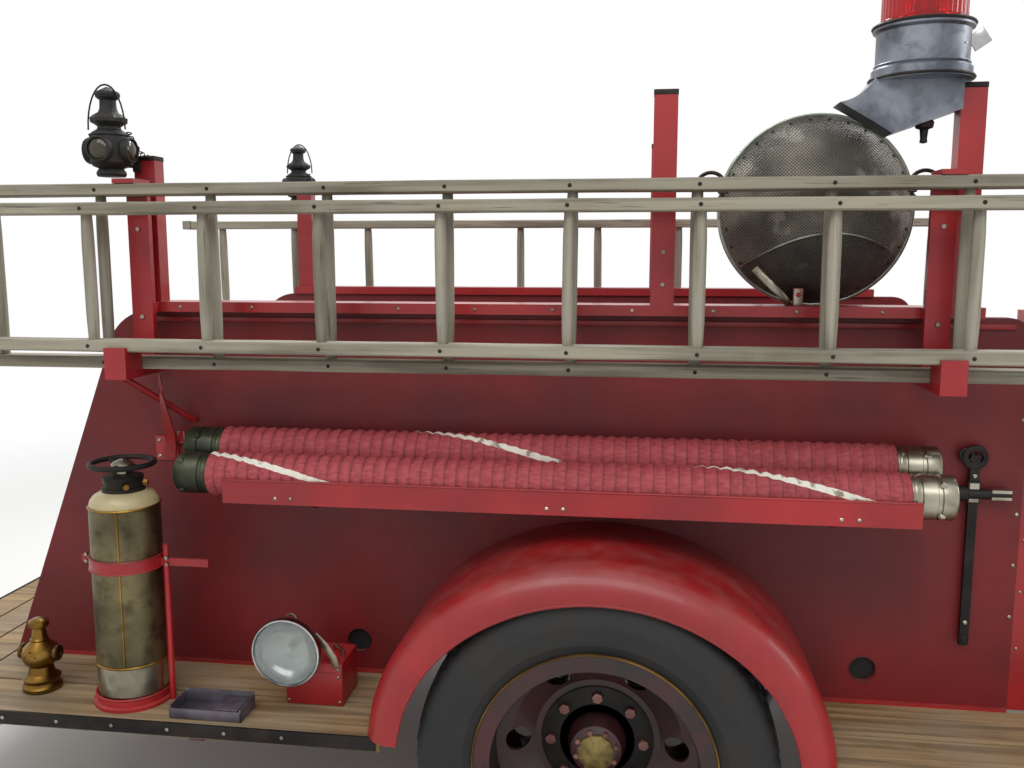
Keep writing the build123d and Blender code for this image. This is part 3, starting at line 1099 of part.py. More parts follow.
with BuildPart() as cowl:
    hollow_hood(DASH_SECTION, FIREWALL_SECTION, COWL_LOW)
    extrude(hood_section(*FIREWALL_SECTION, COWL_LOW), amount=-FIREWALL)
    with BuildSketch(Plane.YZ.offset(at(DASH_X))) as dash_face:
        with BuildLine():
            dash_half = DASH_SECTION[1]
            Polyline((-dash_half, DASH_SECTION[2]), (dash_half, DASH_SECTION[2]))
            ThreePointArc((dash_half, DASH_SECTION[2]), (0, DASH_SECTION[3]), (-dash_half, DASH_SECTION[2]))
        make_face()
    extrude(dash_face.sketch, amount=FIREWALL)
    for gauge_y, gauge_r in DASH_GAUGES:
        rod((at(DASH_X) + FIREWALL / 2, gauge_y, GAUGE_Z), (at(DASH_X) - GAUGE_PROUD, gauge_y, GAUGE_Z), gauge_r)
    pin_drop = HOOD_SHEET / 2
    rod((at(FIREWALL_X) - FIREWALL, 0, FIREWALL_SECTION[3] - pin_drop),
        (at(GRILLE_X) - SEAT_GAP, 0, GRILLE_SECTION[3] - pin_drop), HOOD_PIN_R)
save(cowl, "cowl")

# Ledges on the frame that the hood's lower edges rest on
with BuildPart() as hood_ledges:
    for inset, mode in ((0, Mode.ADD), (HOOD_SHEET, Mode.SUBTRACT)):
        ledge_faces = []
        for section_x, half, _, _ in (FIREWALL_SECTION, GRILLE_SECTION):
            with BuildSketch(Plane.YZ.offset(section_x)) as ledge_face:
                with Locations((0, (FRAME_TOP + HOOD_LOW - SEAT_GAP) / 2)):
                    Rectangle(2 * (half - inset), HOOD_LOW - SEAT_GAP - FRAME_TOP)
            ledge_faces.append(ledge_face.sketch)
        loft(ledge_faces, mode=mode)
    for stay_x in LEDGE_STAYS:
        stay_y = RAIL_OUTER_Y - RAIL_WALL
        for side in (1, -1):
            block((at(stay_x) - HOOD_SHEET, at(stay_x) + HOOD_SHEET), (side * 300, side * stay_y),
                  (FRAME_TOP, FRAME_TOP + HOOD_SHEET))
save(hood_ledges, "hood_ledges")

HOOD_END_GAP = 3
HOOD_REAR_SECTION = (FIREWALL_SECTION[0] + HOOD_END_GAP, *FIREWALL_SECTION[1:])
HOOD_FRONT_SECTION = (GRILLE_SECTION[0] - HOOD_END_GAP, *GRILLE_SECTION[1:])
LOUVRES = 14
LOUVRE_FIRST = 300
LOUVRE_PITCH = 50
LOUVRE_WIDTH = 9
LOUVRE_Z = (950, 1090)
for side, name in ((1, "hood_left"), (-1, "hood_right")):
    with BuildPart() as hood:
        hollow_hood(HOOD_REAR_SECTION, HOOD_FRONT_SECTION, HOOD_LOW)
        far_edge = (-side * 600, side * HOOD_HINGE_GAP / 2)
        block((at(FIREWALL_X), at(GRILLE_X)), (min(far_edge), max(far_edge)), (HOOD_LOW - 60, 1600),
              mode=Mode.SUBTRACT)
        for louvre in range(LOUVRES):
            louvre_x = at(FIREWALL_X) + LOUVRE_FIRST + louvre * LOUVRE_PITCH
            block((louvre_x, louvre_x + LOUVRE_WIDTH), (side * 280, side * 420), LOUVRE_Z, mode=Mode.SUBTRACT)
    save(hood, name)

# Radiator shell with its core and upright bars
RADIATOR_DEPTH = 120
SADDLE = 12
SHELL_EDGE = 44
GRILLE_BARS = 19
BAR_PITCH = 26
with BuildPart() as radiator_shell:
    extrude(hood_section(*GRILLE_SECTION, FRAME_TOP), amount=RADIATOR_DEPTH)
    fillet(radiator_shell.faces().sort_by(Axis.X)[-1].edges().sort_by(Axis.Z)[1:], 18)
    inner_grille = (at(GRILLE_X) - 1, GRILLE_SECTION[1] - SHELL_EDGE, GRILLE_SECTION[2] - SHELL_EDGE / 2,
                    GRILLE_SECTION[3] - SHELL_EDGE)
    extrude(hood_section(*inner_grille, FRAME_TOP + SHELL_EDGE), amount=RADIATOR_DEPTH + 2, mode=Mode.SUBTRACT)
    turned_z([(0, GRILLE_SECTION[3] - 10), (30, GRILLE_SECTION[3] - 10), (30, GRILLE_SECTION[3] + 22),
              (0, GRILLE_SECTION[3] + 22)], at(GRILLE_X) + 50, 0)
    block((at(GRILLE_X) + 20, at(GRILLE_X) + RADIATOR_DEPTH - 20), (-RAIL_OUTER_Y, RAIL_OUTER_Y),
          (FRAME_TOP, FRAME_TOP + SADDLE))
save(radiator_shell, "radiator_shell")

with BuildPart() as radiator_grille:
    core_section = (at(GRILLE_X) + 20, inner_grille[1], inner_grille[2], inner_grille[3])
    extrude(hood_section(*core_section, FRAME_TOP + SHELL_EDGE), amount=50)
    with BuildSketch(Plane.YZ.offset(at(GRILLE_X) + 70)) as bars:
        with Locations((0, (FRAME_TOP + GRILLE_SECTION[3]) / 2)):
            with GridLocations(BAR_PITCH, 0, GRILLE_BARS, 1):
                Rectangle(8, GRILLE_SECTION[3] - FRAME_TOP)
        with BuildLine():
            Polyline((-inner_grille[1], inner_grille[2]), (-inner_grille[1], FRAME_TOP + SHELL_EDGE),
                     (inner_grille[1], FRAME_TOP + SHELL_EDGE), (inner_grille[1], inner_grille[2]))
            ThreePointArc((inner_grille[1], inner_grille[2]), (0, inner_grille[3]),
                          (-inner_grille[1], inner_grille[2]))
        make_face(mode=Mode.INTERSECT)
    extrude(bars.sketch, amount=24)
save(radiator_grille, "radiator_grille")

# Windshield frame and its glass, leaning back a little
WINDSHIELD_LEAN = 9
WINDSHIELD_HALF = 520
WINDSHIELD_HEIGHT = 430
WINDSHIELD_BAR = 26
SCREEN = Plane(origin=(at(DASH_X) + 40, 0, 1300), x_dir=(0, 1, 0),
               z_dir=(cos(radians(WINDSHIELD_LEAN)), 0, sin(radians(WINDSHIELD_LEAN))))
with BuildPart() as windshield_frame:
    with BuildSketch(SCREEN):
        with Locations((0, 100 + WINDSHIELD_HEIGHT / 2)):
            Rectangle(2 * WINDSHIELD_HALF, WINDSHIELD_HEIGHT)
            with Locations((-WINDSHIELD_HALF / 2, 0), (WINDSHIELD_HALF / 2, 0)):
                Rectangle(WINDSHIELD_HALF - 1.5 * WINDSHIELD_BAR, WINDSHIELD_HEIGHT - 2 * WINDSHIELD_BAR,
                          mode=Mode.SUBTRACT)
        with Locations((-WINDSHIELD_HALF + WINDSHIELD_BAR / 2, 0), (WINDSHIELD_HALF - WINDSHIELD_BAR / 2, 0)):
            Rectangle(WINDSHIELD_BAR, 200)
    extrude(amount=WINDSHIELD_BAR / 2, both=True)
    add(cowl_outside.part, mode=Mode.SUBTRACT)
save(windshield_frame, "windshield_frame")

with BuildPart() as windshield_glass:
    with BuildSketch(SCREEN):
        with Locations((0, 100 + WINDSHIELD_HEIGHT / 2)):
            with Locations((-WINDSHIELD_HALF / 2, 0), (WINDSHIELD_HALF / 2, 0)):
                Rectangle(WINDSHIELD_HALF - 1.5 * WINDSHIELD_BAR - 2 * SEAT_GAP,
                          WINDSHIELD_HEIGHT - 2 * WINDSHIELD_BAR - 2 * SEAT_GAP)
    extrude(amount=3, both=True)
save(windshield_glass, "windshield_glass")

# Steering column and wheel
COLUMN_TOP = (at(DASH_X) - 240, STEER_Y, 1400)
COLUMN_LOW = (at(FIREWALL_X) - 22, STEER_Y, 1000)
column_line = Vector(*COLUMN_TOP) - Vector(*COLUMN_LOW)
column_way = column_line.normalized()
HUB_HALF = 20
WHEEL_SHAFT_R = 9
with BuildPart() as steering_column:
    column_end = Vector(*COLUMN_TOP) - column_way * (HUB_HALF + 6)
    rod(COLUMN_LOW, column_end, 21)
    rod(column_end - column_way * 62, column_end + column_way * 2, WHEEL_SHAFT_R + BEARING_GAP, mode=Mode.SUBTRACT)
    block((at(DASH_X) + 6, at(DASH_X) + 30), (STEER_Y - 24, STEER_Y + 24), (1180, 1260))
save(steering_column, "steering_column")

with BuildPart() as steering_wheel:
    wheel_plane = Plane(origin=COLUMN_TOP, x_dir=(0, 1, 0), z_dir=column_way)
    rod((Vector(*COLUMN_TOP) - column_way * HUB_HALF), (Vector(*COLUMN_TOP) + column_way * HUB_HALF), 30)
    rod((Vector(*COLUMN_TOP) - column_way * (HUB_HALF + 60)), COLUMN_TOP, WHEEL_SHAFT_R)
    hoop(wheel_plane, STEER_RIM_R, 12)
    for spoke in range(4):
        angle = radians(45 + 90 * spoke)
        spoke_end = wheel_plane.from_local_coords((STEER_RIM_R * cos(angle), STEER_RIM_R * sin(angle), 0))
        rod(COLUMN_TOP, spoke_end, 6)
save(steering_wheel, "steering_wheel")

# Headlamps on fender brackets, and two tail lamps on the tailboard
HEADLAMP_R = 108
HEADLAMP_X = at(GRILLE_X) + 160
HEADLAMP_Y = 420
HEADLAMP_Z = 1130
TAIL_LAMP_Z = 570
TAIL_LAMP_Y = 640
TAIL_LAMP_OUTLINE = ((90, 0), (90, 38), (100, 44), (140, 44), (160, 26), (160, 0))
with BuildPart() as lamps:
    for side in (1, -1):
        turned_x([(HEADLAMP_X - 110, 0), (HEADLAMP_X - 110, 30), (HEADLAMP_X - 85, 72), (HEADLAMP_X - 20, 100),
                  (HEADLAMP_X + 20, HEADLAMP_R), (HEADLAMP_X + 40, HEADLAMP_R), (HEADLAMP_X + 48, HEADLAMP_R - 10),
                  (HEADLAMP_X + 56, 60), (HEADLAMP_X + 58, 0)], side * HEADLAMP_Y, HEADLAMP_Z)
        stalk_y = side * (FRONT_FENDER_IN_Y + 20)
        rod((FRONT_X, stalk_y, FRONT_FENDER_TOP - SHEET / 2), (FRONT_X, stalk_y, HEADLAMP_Z - 60), 13)
        turned_x([(TAIL_X + reach, radius) for reach, radius in TAIL_LAMP_OUTLINE], side * TAIL_LAMP_Y, TAIL_LAMP_Z)
        rod((TAIL_X + 125, side * TAIL_LAMP_Y, BOARD_TOP), (TAIL_X + 125, side * TAIL_LAMP_Y, TAIL_LAMP_Z), 9)
    add(front_fenders.part, mode=Mode.SUBTRACT)
save(lamps, "lamps")


# Wheels and tyres
def rim_outline(middle_y):
    """Half section of a rim with tall flanges, as (y, radius) points."""
    inner = RIM_SEAT_R - RIM_WALL
    seat = RIM_HALF - RIM_FLANGE
    return [(middle_y - RIM_HALF, inner), (middle_y + RIM_HALF, inner), (middle_y + RIM_HALF, RIM_FLANGE_R),
            (middle_y + seat, RIM_FLANGE_R), (middle_y + seat, RIM_SEAT_R), (middle_y - seat, RIM_SEAT_R),
            (middle_y - seat, RIM_FLANGE_R), (middle_y - RIM_HALF, RIM_FLANGE_R)]


def tyre(axle_x, middle_y):
    """Closed tyre between the rim's flanges, its side walls and tread drawn as flats."""
    bead = RIM_HALF - RIM_FLANGE - SEAT_GAP
    inner = RIM_SEAT_R + SEAT_GAP
    half_outline = [(bead, inner), (bead, RIM_FLANGE_R + 2), (TYRE_HALF, BULGE_R), (TREAD_HALF, TYRE_R)]
    outline = half_outline + [(-reach, radius) for reach, radius in half_outline[::-1]]
    turned_y([(middle_y + reach, radius) for reach, radius in outline], axle_x, TYRE_R)


def hand_holes(axle_x, radius, near_y, far_y):
    """Round holes through a wheel's disc."""
    with BuildSketch(side_plane(max(near_y, far_y))) as holes:
        with Locations((axle_x, TYRE_R)):
            with PolarLocations(radius, HAND_HOLES):
                Circle(HAND_HOLE_R)
    extrude(holes.sketch, amount=abs(far_y - near_y), mode=Mode.SUBTRACT)


DISC_FLAT_R = 160
DISC_INNER_R = RIM_SEAT_R - RIM_WALL
DISC_DISH = 47
HUB_START_Y = 690
for side, name in ((1, "left"), (-1, "right")):
    with BuildPart() as rear_wheels:
        mid = side * TWIN_MID_Y
        for rim in (1, -1):
            turned_y(rim_outline(side * (TWIN_MID_Y + rim * TWIN_PITCH / 2)), REAR_X, TYRE_R)
            out = side * rim
            turned_y([(mid, 60), (mid, DISC_FLAT_R), (mid + out * 36, DISC_FLAT_R + 55),
                      (mid + out * DISC_DISH, DISC_INNER_R + 2), (mid + out * (DISC_DISH + DISC), DISC_INNER_R + 2),
                      (mid + out * (36 + DISC), DISC_FLAT_R + 52), (mid + out * DISC, DISC_FLAT_R - 4),
                      (mid + out * DISC, 60)], REAR_X, TYRE_R)
        hand_holes(REAR_X, 196, side * (TWIN_MID_Y - 70), side * (TWIN_MID_Y + 70))
        bore = REAR_SPINDLE_R + BEARING_GAP
        turned_y([(side * HUB_START_Y, bore), (side * HUB_START_Y, 72), (side * 800, 72), (side * 842, 62),
                  (side * 850, 48), (side * 850, 0), (side * HUB_END_Y, 0), (side * HUB_END_Y, bore)], REAR_X, TYRE_R)
        turned_y([(side * 642, REAR_DRUM_R - DRUM_WALL), (side * 642, REAR_DRUM_R), (side * 764, REAR_DRUM_R),
                  (side * 764, 60), (side * 752, 60), (side * 752, REAR_DRUM_R - DRUM_WALL)], REAR_X, TYRE_R)
    save(rear_wheels, f"rear_wheels_{name}")

    with BuildPart() as rear_tyres:
        for twin in (1, -1):
            tyre(REAR_X, side * (TWIN_MID_Y + twin * TWIN_PITCH / 2))
    save(rear_tyres, f"rear_tyres_{name}")

    front_bore = FRONT_SPINDLE_R + BEARING_GAP
    with BuildPart() as front_wheel:
        turned_y(rim_outline(side * FRONT_WHEEL_Y), FRONT_X, TYRE_R)
        turned_y([(side * 812, 40), (side * 812, DISC_FLAT_R - 30), (side * 790, DISC_FLAT_R + 45),
                  (side * 770, DISC_INNER_R + 2), (side * 760, DISC_INNER_R + 2), (side * 780, DISC_FLAT_R + 42),
                  (side * 802, DISC_FLAT_R - 34), (side * 802, 40)], FRONT_X, TYRE_R)
        hand_holes(FRONT_X, 196, side * 730, side * 830)
        turned_y([(side * 745, front_bore), (side * 745, 50), (side * 812, 50), (side * 812, 60), (side * 822, 60),
                  (side * 850, 44), (side * 872, 36), (side * 872, 0), (side * 842, 0), (side * 842, front_bore)],
                 FRONT_X, TYRE_R)
        turned_y([(side * 744, FRONT_DRUM_R - DRUM_WALL), (side * 744, FRONT_DRUM_R), (side * 808, FRONT_DRUM_R),
                  (side * 808, 45), (side * 796, 45), (side * 796, FRONT_DRUM_R - DRUM_WALL)], FRONT_X, TYRE_R)
    save(front_wheel, f"front_wheel_{name}")

    with BuildPart() as front_tyre:
        tyre(FRONT_X, side * FRONT_WHEEL_Y)
    save(front_tyre, f"front_tyre_{name}")

# Steering knuckles: forked round the axle's boss, each with its kingpin, spindle and arm
EAR = 24
EAR_GAP = 0.5
WEB_Y = 726
WEB = 10
ARM_BACK = 150
ARM_DROP_Z = TYRE_R - BOSS_HALF - EAR_GAP - EAR
TIE_PIN_R = 8
for side, name in ((1, "left"), (-1, "right")):
    with BuildPart() as knuckle:
        for up in (1, -1):
            ear_near = TYRE_R + up * (BOSS_HALF + EAR_GAP)
            ear_far = ear_near + up * EAR
            ear_z = (min(ear_near, ear_far), max(ear_near, ear_far))
            with Locations((FRONT_X, side * KINGPIN_Y, (ear_near + ear_far) / 2)):
                Cylinder(BOSS_R - 2, EAR)
            block((FRONT_X - 22, FRONT_X + 22), (side * KINGPIN_Y, side * (WEB_Y + WEB)), ear_z)
        block((FRONT_X - 32, FRONT_X + 32), (side * WEB_Y, side * (WEB_Y + WEB)),
              (TYRE_R - BOSS_HALF - EAR, TYRE_R + BOSS_HALF + EAR))
        with Locations((FRONT_X, side * KINGPIN_Y, TYRE_R)):
            Cylinder(KINGPIN_R, 2 * (BOSS_HALF + EAR))
        turned_y([(side * (WEB_Y + WEB - 8), 0), (side * (WEB_Y + WEB - 8), FRONT_DRUM_R - DRUM_WALL - 6),
                  (side * (WEB_Y + WEB), FRONT_DRUM_R - DRUM_WALL - 6), (side * (WEB_Y + WEB), FRONT_SPINDLE_R),
                  (side * (842 - SEAT_GAP), FRONT_SPINDLE_R), (side * (842 - SEAT_GAP), 0)], FRONT_X, TYRE_R)
        block((FRONT_X - ARM_BACK - 18, FRONT_X), (side * (KINGPIN_Y - 16), side * (KINGPIN_Y + 16)),
              (ARM_DROP_Z, ARM_DROP_Z + 20))
        with Locations((FRONT_X - ARM_BACK, side * KINGPIN_Y, ARM_DROP_Z + 10)):
            Cylinder(TIE_PIN_R + (BEARING_GAP if side == 1 else 2), 60, mode=Mode.SUBTRACT)
    save(knuckle, f"knuckle_{name}")

# Tie rod behind the axle, under the knuckles' arms
TIE_ROD_R = 14
TIE_EYE_R = 19
TIE_EYE = 32
TIE_Z = ARM_DROP_Z - TIE_ROD_R - 8
with BuildPart() as tie_rod:
    rod((FRONT_X - ARM_BACK, -KINGPIN_Y, TIE_Z), (FRONT_X - ARM_BACK, KINGPIN_Y, TIE_Z), TIE_ROD_R)
    for side in (1, -1):
        with Locations((FRONT_X - ARM_BACK, side * KINGPIN_Y, TIE_Z)):
            Cylinder(TIE_EYE_R, TIE_EYE)
        rod((FRONT_X - ARM_BACK, side * KINGPIN_Y, TIE_Z),
            (FRONT_X - ARM_BACK, side * KINGPIN_Y, ARM_DROP_Z + 26), TIE_PIN_R)
save(tie_rod, "tie_rod")
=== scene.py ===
"""Looks of the open-cab fire engine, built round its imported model.

Metres, in the row frame: +X forward, +Y to the driver's left, +Z up.
The camera stands off the right side, as the photographer did.
"""

import random
from math import atan2, cos, pi, radians, sin

import bmesh
import bpy
from mathutils import Matrix, Vector, noise


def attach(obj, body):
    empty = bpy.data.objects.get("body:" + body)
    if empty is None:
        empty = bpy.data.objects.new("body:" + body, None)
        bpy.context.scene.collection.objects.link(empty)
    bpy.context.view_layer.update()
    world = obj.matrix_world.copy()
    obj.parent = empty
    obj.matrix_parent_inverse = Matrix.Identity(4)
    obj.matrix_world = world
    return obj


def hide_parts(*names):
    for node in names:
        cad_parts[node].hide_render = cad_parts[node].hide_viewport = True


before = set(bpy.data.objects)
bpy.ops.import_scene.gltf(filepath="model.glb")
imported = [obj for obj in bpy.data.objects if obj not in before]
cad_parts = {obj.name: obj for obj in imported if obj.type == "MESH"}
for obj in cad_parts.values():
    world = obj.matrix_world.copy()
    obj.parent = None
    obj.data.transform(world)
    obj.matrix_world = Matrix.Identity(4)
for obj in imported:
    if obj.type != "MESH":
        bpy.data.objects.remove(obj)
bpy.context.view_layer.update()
random.seed(7)

# Camera, fitted to the photograph
CAMERA_AT = (-1.24, -3.03, 1.64)
CAMERA_YAW = 8.0
CAMERA_PITCH = 7.9
CAMERA_LENS = 33.4

camera_data = bpy.data.cameras.new("camera")
camera_data.lens = CAMERA_LENS
camera_data.sensor_width = 36.0
camera = bpy.data.objects.new("camera", camera_data)
camera.location = CAMERA_AT
sight = Vector((-sin(radians(CAMERA_YAW)) * cos(radians(CAMERA_PITCH)),
    cos(radians(CAMERA_YAW)) * cos(radians(CAMERA_PITCH)), -sin(radians(CAMERA_PITCH))))
camera.rotation_euler = sight.to_track_quat("-Z", "Y").to_euler()
bpy.context.collection.objects.link(camera)
bpy.context.scene.camera = camera

# Places that several pieces share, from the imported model
REAR_AXLE = (-1.34, 0.432)
FRONT_AXLE = (2.65, 0.432)
TYRE_R = 0.432
BODY_HALF = 0.570
RAIL_FACE = 0.620
POSTS = (-2.562, -1.200, -0.491)
RIB_PITCH = 0.030
AHEAD, LEFT, RIGHT, UP = (1, 0, 0), (0, 1, 0), (0, -1, 0), (0, 0, 1)

# Curved edge of the painted shade on the baskets' lower half: its crest from their middle, and how sharply it
# bends
SHADE_EDGE_SIDE = 0.03
SHADE_EDGE_DROP = 0.058
SHADE_EDGE_BEND = 1.9


def at(distance):
    """X of a place given by its distance ahead of the rear axle."""
    return REAR_AXLE[0] + distance


# Materials
def rgb(code):
    """Linear colour from a six-digit hex code."""
    values = [int(code[k:k + 2], 16) / 255 for k in (0, 2, 4)]
    return tuple(v / 12.92 if v < 0.04045 else ((v + 0.055) / 1.055) ** 2.4 for v in values) + (1.0,)


class Shader:
    """One material with a few short ways to add nodes to it."""

    def __init__(self, name, metallic=0.0, roughness=0.5, coat=0.0):
        self.material = bpy.data.materials.new(name)
        self.material.use_nodes = True
        self.nodes = self.material.node_tree.nodes
        self.links = self.material.node_tree.links
        self.surface = self.nodes["Principled BSDF"]
        self.surface.inputs["Metallic"].default_value = metallic
        self.surface.inputs["Roughness"].default_value = roughness
        self.surface.inputs["Coat Weight"].default_value = coat
        self.place = self.nodes.new("ShaderNodeTexCoord").outputs["Object"]

    def join(self, source, target):
        """Link an output, or set a plain value, on a socket."""
        if isinstance(source, (int, float, tuple)):
            target.default_value = source
        else:
            self.links.new(source, target)

    def math(self, operation, first, second=0.0, third=0.0):
        node = self.nodes.new("ShaderNodeMath")
        node.operation = operation
        for value, socket in zip((first, second, third), node.inputs):
            self.join(value, socket)
        return node.outputs[0]

    def stretched(self, stretch):
        """Object place scaled by three factors."""
        node = self.nodes.new("ShaderNodeMapping")
        node.inputs["Scale"].default_value = stretch
        self.links.new(self.place, node.inputs["Vector"])
        return node.outputs[0]

    def noise(self, scale, detail=4.0, stretch=(1, 1, 1), distortion=0.0):
        node = self.nodes.new("ShaderNodeTexNoise")
        node.inputs["Scale"].default_value = scale
        node.inputs["Detail"].default_value = detail
        node.inputs["Distortion"].default_value = distortion
        self.links.new(self.stretched(stretch), node.inputs["Vector"])
        return node.outputs[0]

    def ramp(self, value, low, high):
        """Value remapped so that low gives 0 and high gives 1, smoothly."""
        node = self.nodes.new("ShaderNodeMapRange")
        node.interpolation_type = "SMOOTHSTEP"
        self.join(value, node.inputs["Value"])
        node.inputs["From Min"].default_value = low
        node.inputs["From Max"].default_value = high
        return node.outputs[0]

    def between(self, value, low, high):
        """Value from 0 to 1 turned into one from low to high."""
        node = self.nodes.new("ShaderNodeMapRange")
        self.join(value, node.inputs["Value"])
        node.inputs["To Min"].default_value = low
        node.inputs["To Max"].default_value = high
        return node.outputs[0]

    def mix(self, amount, first, second):
        node = self.nodes.new("ShaderNodeMix")
        node.data_type = "RGBA"
        self.join(amount, node.inputs["Factor"])
        self.join(first, node.inputs["A"])
        self.join(second, node.inputs["B"])
        return node.outputs["Result"]

    def axis(self, name):
        """One coordinate of the object place."""
        node = self.nodes.new("ShaderNodeSeparateXYZ")
        self.links.new(self.place, node.inputs[0])
        return node.outputs[name]

    def facing_up(self):
        """1 on surfaces that face up, 0 on others."""
        geometry = self.nodes.new("ShaderNodeNewGeometry")
        split = self.nodes.new("ShaderNodeSeparateXYZ")
        self.links.new(geometry.outputs["Normal"], split.inputs[0])
        return self.ramp(split.outputs["Z"], 0.35, 0.95)

    def worn_edge(self, radius):
        """1 along sharp edges, broken up by noise."""
        bevel = self.nodes.new("ShaderNodeBevel")
        bevel.samples = 4
        bevel.inputs["Radius"].default_value = radius
        geometry = self.nodes.new("ShaderNodeNewGeometry")
        dot = self.nodes.new("ShaderNodeVectorMath")
        dot.operation = "DOT_PRODUCT"
        self.links.new(bevel.outputs[0], dot.inputs[0])
        self.links.new(geometry.outputs["Normal"], dot.inputs[1])
        edge = self.ramp(self.math("SUBTRACT", 1.0, dot.outputs["Value"]), 0.02, 0.2)
        return self.math("MULTIPLY", edge, self.ramp(self.noise(34, 5), 0.46, 0.62))

    def bump(self, height, strength, distance=0.002):
        node = self.nodes.new("ShaderNodeBump")
        node.inputs["Strength"].default_value = strength
        node.inputs["Distance"].default_value = distance
        self.join(height, node.inputs["Height"])
        self.links.new(node.outputs[0], self.surface.inputs["Normal"])

    def finish(self, colour, roughness=None):
        self.join(colour, self.surface.inputs["Base Color"])
        if roughness is not None:
            self.join(roughness, self.surface.inputs["Roughness"])
        return self.material


def paint(name, light, dark, dust=0.35, roughness=(0.28, 0.55), grime=0.0, chip="3a2a26", coat=0.25):
    """Aged gloss paint: mottled, dusty on top, worn to primer along its edges."""
    shader = Shader(name, coat=coat)
    patches = shader.ramp(shader.noise(3.1, 6), 0.35, 0.7)
    colour = shader.mix(patches, rgb(dark), rgb(light))
    if grime:
        oily = shader.math("MULTIPLY", shader.ramp(shader.noise(9, 7, distortion=0.6), 0.45, 0.7), grime)
        colour = shader.mix(oily, colour, rgb("0d0a09"))
    settled = shader.math("MULTIPLY", shader.facing_up(), shader.ramp(shader.noise(14, 8), 0.3, 0.8))
    colour = shader.mix(shader.math("MULTIPLY", settled, dust), colour, rgb("8d7f74"))
    colour = shader.mix(shader.worn_edge(0.003), colour, rgb(chip))
    gloss = shader.between(shader.noise(21, 6), *roughness)
    shader.bump(shader.noise(60, 3), 0.05)
    return shader.finish(colour, gloss)


def wood(name, light, dark, along=0, wear=0.5):
    """Weathered timber with its grain along X (0), Y (1) or Z (2)."""
    stretch = [38.0, 38.0, 38.0]
    stretch[along] = 1.6
    shader = Shader(name, roughness=0.8)
    grain = shader.noise(1.0, 6, tuple(stretch), distortion=0.5)
    fine = [160.0, 160.0, 160.0]
    fine[along] = 5.0
    pores = shader.noise(1.0, 3, tuple(fine))
    colour = shader.mix(shader.ramp(grain, 0.32, 0.68), rgb(dark), rgb(light))
    weathered = shader.math("MULTIPLY", shader.ramp(shader.noise(5, 5), 0.4, 0.65), wear)
    colour = shader.mix(weathered, colour, rgb("8f8b7d"))
    cracks = shader.ramp(pores, 0.60, 0.74)
    colour = shader.mix(shader.math("MULTIPLY", cracks, 0.7), colour, rgb("2b241c"))
    height = shader.math("SUBTRACT", grain, shader.math("MULTIPLY", cracks, 0.8))
    shader.bump(height, 0.5, 0.0012)
    return shader.finish(colour, shader.math("MULTIPLY_ADD", grain, 0.25, 0.55))


def metal(name, light, dark, roughness=(0.15, 0.45), tarnish="3c3a33", amount=0.4, scale=7.0, metallic=1.0,
        brush=0.0):
    """Bare or plated metal with patches of tarnish."""
    shader = Shader(name, metallic=metallic)
    cloud = shader.noise(scale, 7, distortion=0.3)
    colour = shader.mix(shader.ramp(cloud, 0.3, 0.75), rgb(dark), rgb(light))
    spots = shader.math("MULTIPLY", shader.ramp(shader.noise(scale * 3.3, 8), 0.48, 0.72), amount)
    colour = shader.mix(spots, colour, rgb(tarnish))
    rough = shader.between(shader.noise(scale * 2, 5), *roughness)
    if brush:
        shader.bump(shader.noise(1.0, 2, (4, 240, 240)), brush, 0.0006)
    else:
        shader.bump(shader.noise(85, 4), 0.08, 0.001)
    return shader.finish(colour, rough)


def tyre_rubber(name="tyre_rubber"):
    """Black rubber, greyed by dust where it is rough."""
    shader = Shader(name, roughness=0.75)
    dusty = shader.ramp(shader.noise(6, 7), 0.4, 0.8)
    colour = shader.mix(shader.math("MULTIPLY", dusty, 0.45), rgb("161617"), rgb("38342f"))
    shader.bump(shader.noise(170, 3), 0.18, 0.0008)
    return shader.finish(colour, shader.math("MULTIPLY_ADD", dusty, 0.2, 0.62))


def striped_hose(name, middle_y, middle_z, rear, stripe_x, turn):
    """Red hose cover with one worn white stripe that winds round it."""
    shader = Shader(name, roughness=0.72)
    angle = shader.math("ARCTAN2", shader.math("SUBTRACT", middle_y, shader.axis("Y")),
        shader.math("SUBTRACT", shader.axis("Z"), middle_z))
    share = shader.math("DIVIDE", angle, 2 * pi)
    along = shader.math("DIVIDE", shader.math("SUBTRACT", shader.axis("X"), stripe_x), turn)
    ragged = shader.math("MULTIPLY_ADD", shader.noise(55, 4), 0.02, 10.0)
    phase = shader.math("FRACT", shader.math("ADD", shader.math("SUBTRACT", share, along), ragged))
    stripe = shader.math("LESS_THAN", phase, 0.045)
    cloth = shader.noise(1.0, 4, (40, 130, 130))
    cover = shader.mix(shader.ramp(cloth, 0.3, 0.7), rgb("8b3236"), rgb("a5454a"))
    grimy = shader.math("MULTIPLY", shader.ramp(shader.noise(3, 5), 0.45, 0.8), 0.35)
    cover = shader.mix(grimy, cover, rgb("5e2628"))
    rib = shader.math("SINE", shader.math("MULTIPLY", shader.math("SUBTRACT", shader.axis("X"), rear),
        2 * pi / RIB_PITCH))
    # Painted shade: the rib grooves are darkened into dark lines.
    groove_shade = shader.ramp(shader.math("ADD", rib, shader.math("MULTIPLY", shader.noise(24, 3), 0.5)), -0.45,
        -0.85)
    cover = shader.mix(shader.math("MULTIPLY", groove_shade, 0.55), cover, rgb("43181b"))
    scuffed = shader.ramp(shader.noise(42, 6), 0.56, 0.66)
    white = shader.mix(scuffed, rgb("d8d3c6"), rgb("8a7d70"))
    shader.bump(shader.noise(1.0, 3, (60, 400, 400)), 0.35, 0.001)
    return shader.finish(shader.mix(stripe, cover, white))


